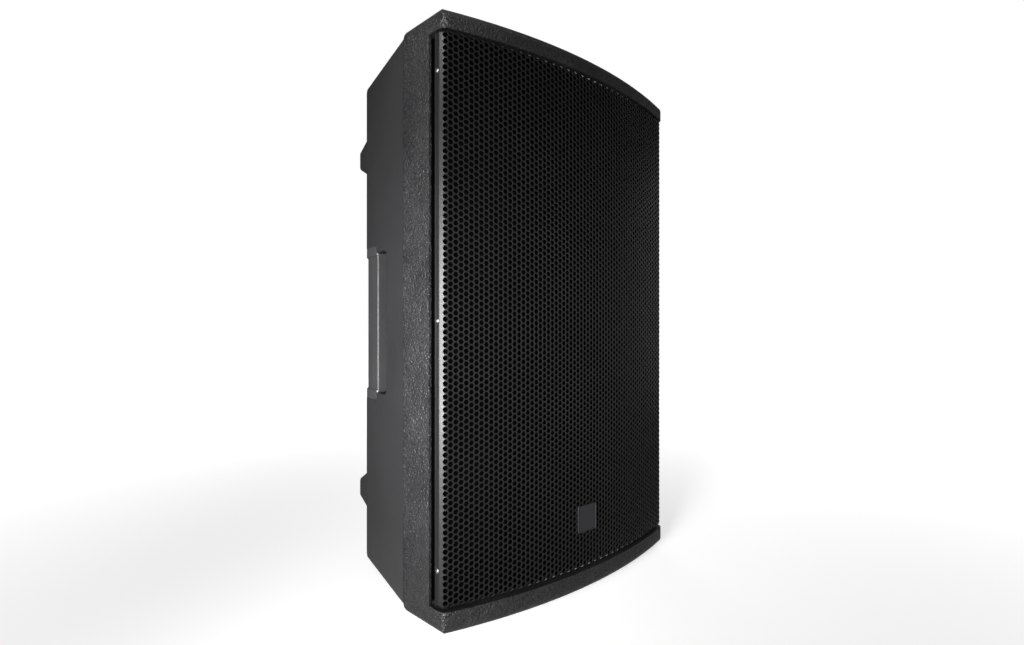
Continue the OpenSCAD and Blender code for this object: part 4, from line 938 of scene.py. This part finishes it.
# Name, CAD node and heads' direction of each set of screws. The grille's sit out on its flange
SCREWS = (
    ("grille_screw_set", "grille_screws", (1, 0, 0), PanHead(0.0027, 0.0016, 0.0014, 0.0085, 0.0057, 0.0029)),
    ("panel_screw_set", "amp_screws", (0, 1, 0), PanHead(0.0038, 0.0022, 0.0015, 0.010)),
    ("socket_screw_set", "pole_socket_screws", (0, 0, -1), PanHead(0.0038, 0.0020, 0.0019, 0.014)),
)


# CAD node of each knob, and the body that turns it
KNOBS = {"gain_knob_1": "gain_1", "gain_knob_2": "gain_2", "bass_knob": "bass", "treble_knob": "treble"}


@dataclass
class Knob:
    """A fluted control knob with a dished top and a white pointer, made once for each control."""

    radius: float = 0.009
    height: float = 0.014
    flutes: int = 18
    pots_face: float = 0.155

    def model(self, name: str, x: float, z: float) -> Piece:
        """One knob at its place on the panel."""
        r, h, y = self.radius, self.height, self.pots_face
        profile = [
            (0.0031, 0.0025), (r - 0.0006, 0.0025), (r, 0.0031), (r, 0.0048), (r - 0.0008, 0.0056),
            (r - 0.0014, h - 0.0022), (r - 0.0024, h - 0.0004), (r - 0.0036, h), (r - 0.0046, h - 0.0008),
            (0.0, h - 0.0010),
        ]
        piece = lathe(name, profile, (x, y, z), (0, 1, 0), self.flutes * 3)
        centre = Vector((x, 0, z))
        with editing(piece, mode="FACE") as mesh:
            for face in mesh.faces:
                middle = face.calc_center_median()
                away = Vector((middle.x, 0, middle.z)) - centre
                third = int((math.atan2(away.x, away.z) % (2 * math.pi)) / (2 * math.pi) * self.flutes * 3) % 3
                side = y + 0.0060 < middle.y < y + h - 0.0030 and away.length > r * 0.7
                face.select_set(side and third == 0)
            flush(piece, mesh)
            bpy.ops.mesh.inset(thickness=0.00012)
            bpy.ops.transform.resize(value=(0.93, 1, 0.93), center_override=(x, y, z))
        smooth(piece, 35.0)
        return piece

    def build(self, node: str, body: str) -> None:
        """Builds and dresses one knob and its pointer.

        Args:
            node: the knob's CAD node.
            body: the body that turns it.
        """
        low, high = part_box(node)
        x, z = (low.x + high.x) / 2, (low.z + high.z) / 2
        knob = self.model(node + "_fluted", x, z)
        dress(knob, SOFT_TOUCH, body, [node])
        at = (x, self.pots_face + self.height - 0.0008, z + self.radius - 0.0040)
        pointer = block(node + "_pointer", at, (0.0009, 0.0006, 0.0052))
        bevel(pointer, 0.00015)
        dress(pointer, INK, body)


@dataclass
class PanelPrint:
    """White printing on the amplifier panel: dial scales, section lines and the two switch symbols."""

    face: float = 0.155
    thick: float = 0.00012
    ticks: int = 11
    sweep: float = 300.0
    line: float = 0.0006
    knob_frame: Point = (0.196, 0.040)
    jack_frame: Point = (0.164, 0.040)
    bars: list[Piece] = field(default_factory=list)

    def bar(self, x: float, z: float, width: float, height: float, turn: float = 0.0) -> None:
        """Prints one rounded bar, turned by an angle in radians about the panel's normal."""
        made = block("bar", (0, 0, 0), (width, self.thick, height))
        with editing(made, "SELECT"):
            bpy.ops.mesh.bevel(offset=min(width, height) * 0.3, segments=2, affect="EDGES")
        made.data.transform(Matrix.Translation((x, self.face + self.thick / 2, z)) @ Matrix.Rotation(turn, 4, "Y"))
        self.bars.append(made)

    def dial(self, x: float, z: float) -> None:
        """Prints the scale of one knob, with longer marks at its ends and middle."""
        for i in range(self.ticks):
            angle = math.radians(-self.sweep / 2 + self.sweep * i / (self.ticks - 1))
            long = i in (0, self.ticks // 2, self.ticks - 1)
            reach, length = (0.0128, 0.0026) if long else (0.0122, 0.0014)
            self.bar(x + reach * math.sin(angle), z + reach * math.cos(angle), 0.0005, length, angle)

    def frame(self, x: float, z: float, width: float, height: float) -> None:
        """Prints a thin frame round a group of controls."""
        for s in (-1, 1):
            self.bar(x + s * width / 2, z, self.line, height)
            self.bar(x, z + s * height / 2, width, self.line)

    def build(self) -> None:
        """Prints everything and joins it into one piece."""
        for node in KNOBS:
            low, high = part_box(node)
            self.dial((low.x + high.x) / 2, (low.z + high.z) / 2)
        low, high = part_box("gain_knob_1")
        self.frame(0.0, (low.z + high.z) / 2, *self.knob_frame)
        low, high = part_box("input_jacks")
        self.frame(0.0, (low.z + high.z) / 2, *self.jack_frame)
        low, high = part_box("power_switch")
        x, z = (low.x + high.x) / 2 + 0.018, (low.z + high.z) / 2
        ring, sides = 0.0022, 12
        self.bar(x, z + 0.010, 0.0008, 0.0050)
        for i in range(sides):
            angle = 2 * math.pi * i / sides
            self.bar(x + ring * math.sin(angle), z - 0.010 + ring * math.cos(angle), 0.0013, 0.0007, angle)
        piece = join("panel_printing", self.bars)
        dress(piece, INK)


@dataclass
class Foot:
    """A turned rubber foot with a rounded rim and two grooves in its sole."""

    radius: float = 0.015
    front_height: float = 0.0046
    rear_height: float = 0.0086

    def build(self) -> None:
        """Builds the four feet as one piece, each tall enough to reach its shell's underside."""
        low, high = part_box("rubber_feet")
        feet = []
        r = self.radius
        for x in (low.x + r, high.x - r):
            for y, top in ((low.y + r, self.front_height), (high.y - r, self.rear_height)):
                profile = [
                    (0.0, 0.0010), (0.0035, 0.0010), (0.0040, 0.0), (0.0070, 0.0), (0.0076, 0.0009), (0.0086, 0.0009),
                    (0.0092, 0.0), (r - 0.0016, 0.0), (r - 0.0005, 0.0005), (r, 0.0016), (r, top), (0.0, top),
                ]
                feet.append(lathe("foot", profile, (x, y, 0), (0, 0, 1), 40))
        piece = join("turned_rubber_feet", feet)
        smooth(piece)
        dress(piece, RUBBER, stands_for=["rubber_feet"])


@dataclass
class Cabinet:
    """The two shells, the handle pockets and what is fixed to them."""

    nodes: dict[str, Piece]

    def build(self) -> None:
        """Builds the moulded parts that show."""
        for part in (
            FrontMoulding("front_shell", COARSE_ABS, "front_shell", "front_shell_moulding", 0.0009),
            Casting("rear_shell", FINE_ABS, "rear_shell", "rear_shell_moulding", 0.0006),
            Casting("handle_cup_left", FINE_ABS, "handle_cup", "hand_pocket_left", 0.0004),
            Casting("handle_cup_right", FINE_ABS, "handle_cup", "hand_pocket_right", 0.0004),
            Casting("handle_bar_left", NYLON, "handle_bar", "grip_bar_left", 0.0012),
            Casting("handle_bar_right", NYLON, "handle_bar", "grip_bar_right", 0.0012),
            Casting("pole_socket", NYLON, "pole_socket", "pole_socket_moulding", 0.0005),
            Casting("rigging_inserts", ZINC, "rigging_inserts", "rigging_inserts_turned", 0.0004),
        ):
            part.build(self.nodes)


@dataclass
class Amplifier:
    """The amplifier's panel with its heat sink, controls and connectors."""

    nodes: dict[str, Piece]

    def build(self) -> None:
        """Builds the parts that show on the back."""
        for part in (
            Casting("amp_panel", PANEL_COAT, "amp_panel", "amp_panel_sheet", 0.0004),
            Casting("heat_sink", BLACK_ANODISED, "heat_sink", "heat_sink_extrusion", 0.0004),
            Casting("input_jacks", SMOOTH_ABS, "input_jacks", "input_jack_bodies", 0.0004),
            Casting("mains_inlet", SMOOTH_ABS, "mains_inlet", "mains_inlet_body", 0.0004),
            Casting("power_switch", SMOOTH_ABS, "power_switch", "power_switch_body", 0.0003),
            Casting("power_rocker", RED_GLOSS, "power_rocker", "power_rocker_cap", 0.0004, "rocker"),
            Casting("fuse_drawer", SMOOTH_ABS, "fuse_drawer", "fuse_drawer_body", 0.0003, "fuse"),
            Casting("mode_button", RED_GLOSS, "mode_button", "mode_button_cap", 0.0004, "button"),
            Casting("jack_latch_1", NICKEL, "jack_latches", "jack_latch_1_tab", 0.0003, "latch_1"),
            Casting("jack_latch_2", NICKEL, "jack_latches", "jack_latch_2_tab", 0.0003, "latch_2"),
            Casting("status_lamps", LENS, "status_lamps", "status_lamp_lenses"),
        ):
            part.build(self.nodes)
        knob = Knob()
        for node, body in KNOBS.items():
            knob.build(node, body)
        PanelPrint().build()


# The CAD nodes that stay as they are, by their finish
NODE_FINISHES: dict[Finish, tuple[str, ...]] = {
    RUBBER: ("shell_gasket", "woofer_gasket", "amp_gasket"),
    ZINC: (
        "shell_screws", "handle_screws", "woofer_top_plate", "woofer_yoke", "woofer_screws", "horn_screws",
        "driver_plate", "control_pots",
    ),
    OPEN_FOAM: ("grille_foam",),
    CAST_PAINTED: ("woofer_basket",),
    DOPED_CLOTH: ("woofer_surround",),
    SPIDER_CLOTH: ("woofer_spider",),
    PAPER: ("woofer_cone", "dust_cap"),
    COPPER: ("voice_coil", "power_transformer"),
    FERRITE: ("woofer_magnet", "driver_magnet"),
    PHENOLIC: ("woofer_terminals",),
    SMOOTH_ABS: ("horn", "driver_cap", "port_tubes"),
    FOIL: ("hf_diaphragm",),
    SHEET_ZINC: ("amp_box",),
    RESIST: ("amp_board",),
    SLEEVE: ("amp_capacitors",),
}


# ---------------------------------------------------------------- studio


# Name, place, point that it faces, width and height, power, and grid angle of each soft box
LAMPS = (
    ("near_box", (-0.85, -0.48, 0.3), (-0.2, -0.14, 0.3), (0.36, 0.46), 5.2, 60.0),
    ("edge_box", (-1.3, -0.72, 0.29), (-0.2, -0.14, 0.3), (0.26, 0.32), 2.0, 46.0),
    ("corner_box", (-0.98, -0.55, 1.22), (-0.21, -0.1, 0.71), (0.14, 0.14), 0.12, 12.0),
    ("right_box", (2.0, -0.5, 0.45), (0.15, -0.15, 0.35), (0.8, 1.4), 3.0),
    ("top", (0.0, -0.3, 2.8), (0, 0, 0.35), (1.8, 1.8), 4.0),
    ("back", (1.6, 2.2, 1.2), (0, 0, 0.35), (1.6, 1.6), 14.0),
)


@dataclass
class Studio:
    """The camera, the pale floor and plain soft light."""

    camera_at: Place = (-0.5001, -0.6331, 0.3426)
    look_along: Place = (0.6312, 0.7756, 0.0)
    lens: float = 18.146
    shift: float = 0.0084
    ambient: float = 0.115

    def camera(self) -> None:
        """Adds the camera at the object's half height, close in front of its left corner."""
        select()
        bpy.ops.object.camera_add(location=self.camera_at)
        made = bpy.context.object
        made.name = "camera"
        made.rotation_euler = Vector(self.look_along).to_track_quat("-Z", "Y").to_euler()
        made.data.sensor_width = 36
        made.data.lens = self.lens
        made.data.shift_y = self.shift
        made.data.clip_start = 0.01
        bpy.context.scene.camera = made

    def lamp(
        self, name: str, at: Sequence[float], aim: Sequence[float], size: Point, watts: float, spread: float = 180.0
    ) -> None:
        """Adds one soft box.

        Args:
            name: the lamp's name.
            at: where it hangs.
            aim: the point that it faces.
            size: its width and height.
            watts: its power.
            spread: the angle of its honeycomb grid in degrees, 180 for none.
        """
        select()
        bpy.ops.object.light_add(type="AREA", location=at)
        made = bpy.context.object
        made.name = name
        made.rotation_euler = (Vector(aim) - Vector(at)).to_track_quat("-Z", "Y").to_euler()
        made.data.shape = "RECTANGLE"
        made.data.size, made.data.size_y = size
        made.data.spread = math.radians(spread)
        made.visible_camera = False
        made.data.energy = watts

    def floor(self) -> None:
        """Adds the floor. The camera sees it nearly white, and it keeps the object's shadow; its glow fades towards the
        object, which paints shade round it.
        """
        select()
        bpy.ops.mesh.primitive_plane_add(size=60, location=(0, 0, 0))
        made = new_piece("floor")
        paint = bpy.data.materials.new("pale_floor")
        tree = blank_tree(paint)
        path = add_node(tree, "LightPath")
        where = add_node(tree, "TexCoord")
        away = add_node(tree, "VectorMath", {0: where.outputs["Object"]}, operation="LENGTH")
        # Painted shade: the floor glows as much as the backdrop far from the object and less close by, so a darker ring
        # is painted round it, where the matt floor also shows the real shadow
        ramp = {"From Min": 0.2, "From Max": 1.2, "To Min": 0.62, "To Max": 0.97}
        painted_shade_glow = add_node(tree, "MapRange", {"Value": away.outputs["Value"], **ramp})
        matt = add_node(tree, "BsdfDiffuse", {"Color": (0.55, 0.55, 0.55, 1)})
        glow = add_node(tree, "Emission", {"Color": (1, 1, 1, 1), "Strength": painted_shade_glow.outputs[0]})
        seen = add_node(tree, "AddShader", {0: matt.outputs[0], 1: glow.outputs[0]})
        choice = {0: path.outputs["Is Camera Ray"], 1: matt.outputs[0], 2: seen.outputs[0]}
        pick = add_node(tree, "MixShader", choice)
        add_node(tree, "OutputMaterial", {"Surface": pick.outputs[0]})
        made.data.materials.append(paint)

    def world(self) -> None:
        """Sets a white backdrop for the camera and soft grey light for everything else."""
        made = bpy.data.worlds.new("backdrop")
        bpy.context.scene.world = made
        tree = blank_tree(made)
        path = add_node(tree, "LightPath")
        soft = add_node(tree, "Background", {"Color": (1, 1, 1, 1), "Strength": self.ambient})
        white = add_node(tree, "Background", {"Color": (1, 1, 1, 1), "Strength": 1.0})
        choice = {0: path.outputs["Is Camera Ray"], 1: soft.outputs[0], 2: white.outputs[0]}
        pick = add_node(tree, "MixShader", choice)
        add_node(tree, "OutputWorld", {"Surface": pick.outputs[0]})

    def build(self) -> None:
        """Sets up the whole studio."""
        self.camera()
        self.floor()
        self.world()
        for lamp in LAMPS:
            self.lamp(*lamp)
        bpy.context.scene.view_settings.view_transform = "Standard"


def main() -> None:
    """Builds the studio and every sub-assembly in order."""
    logging.basicConfig(level=logging.INFO, format="%(name)s: %(message)s")
    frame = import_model()
    nodes = frame["nodes"]
    Studio().build()
    for finish, names in NODE_FINISHES.items():
        for name in names:
            nodes[name].data.materials.clear()
            nodes[name].data.materials.append(finish.material())
    Cabinet(nodes).build()
    Grille().build()
    for name, node, axis, screw in SCREWS:
        screw.place(name, nodes[node], axis, ZINC)
    Badge().build()
    Foot().build()
    Amplifier(nodes).build()


if __name__ == "__main__":
    main()
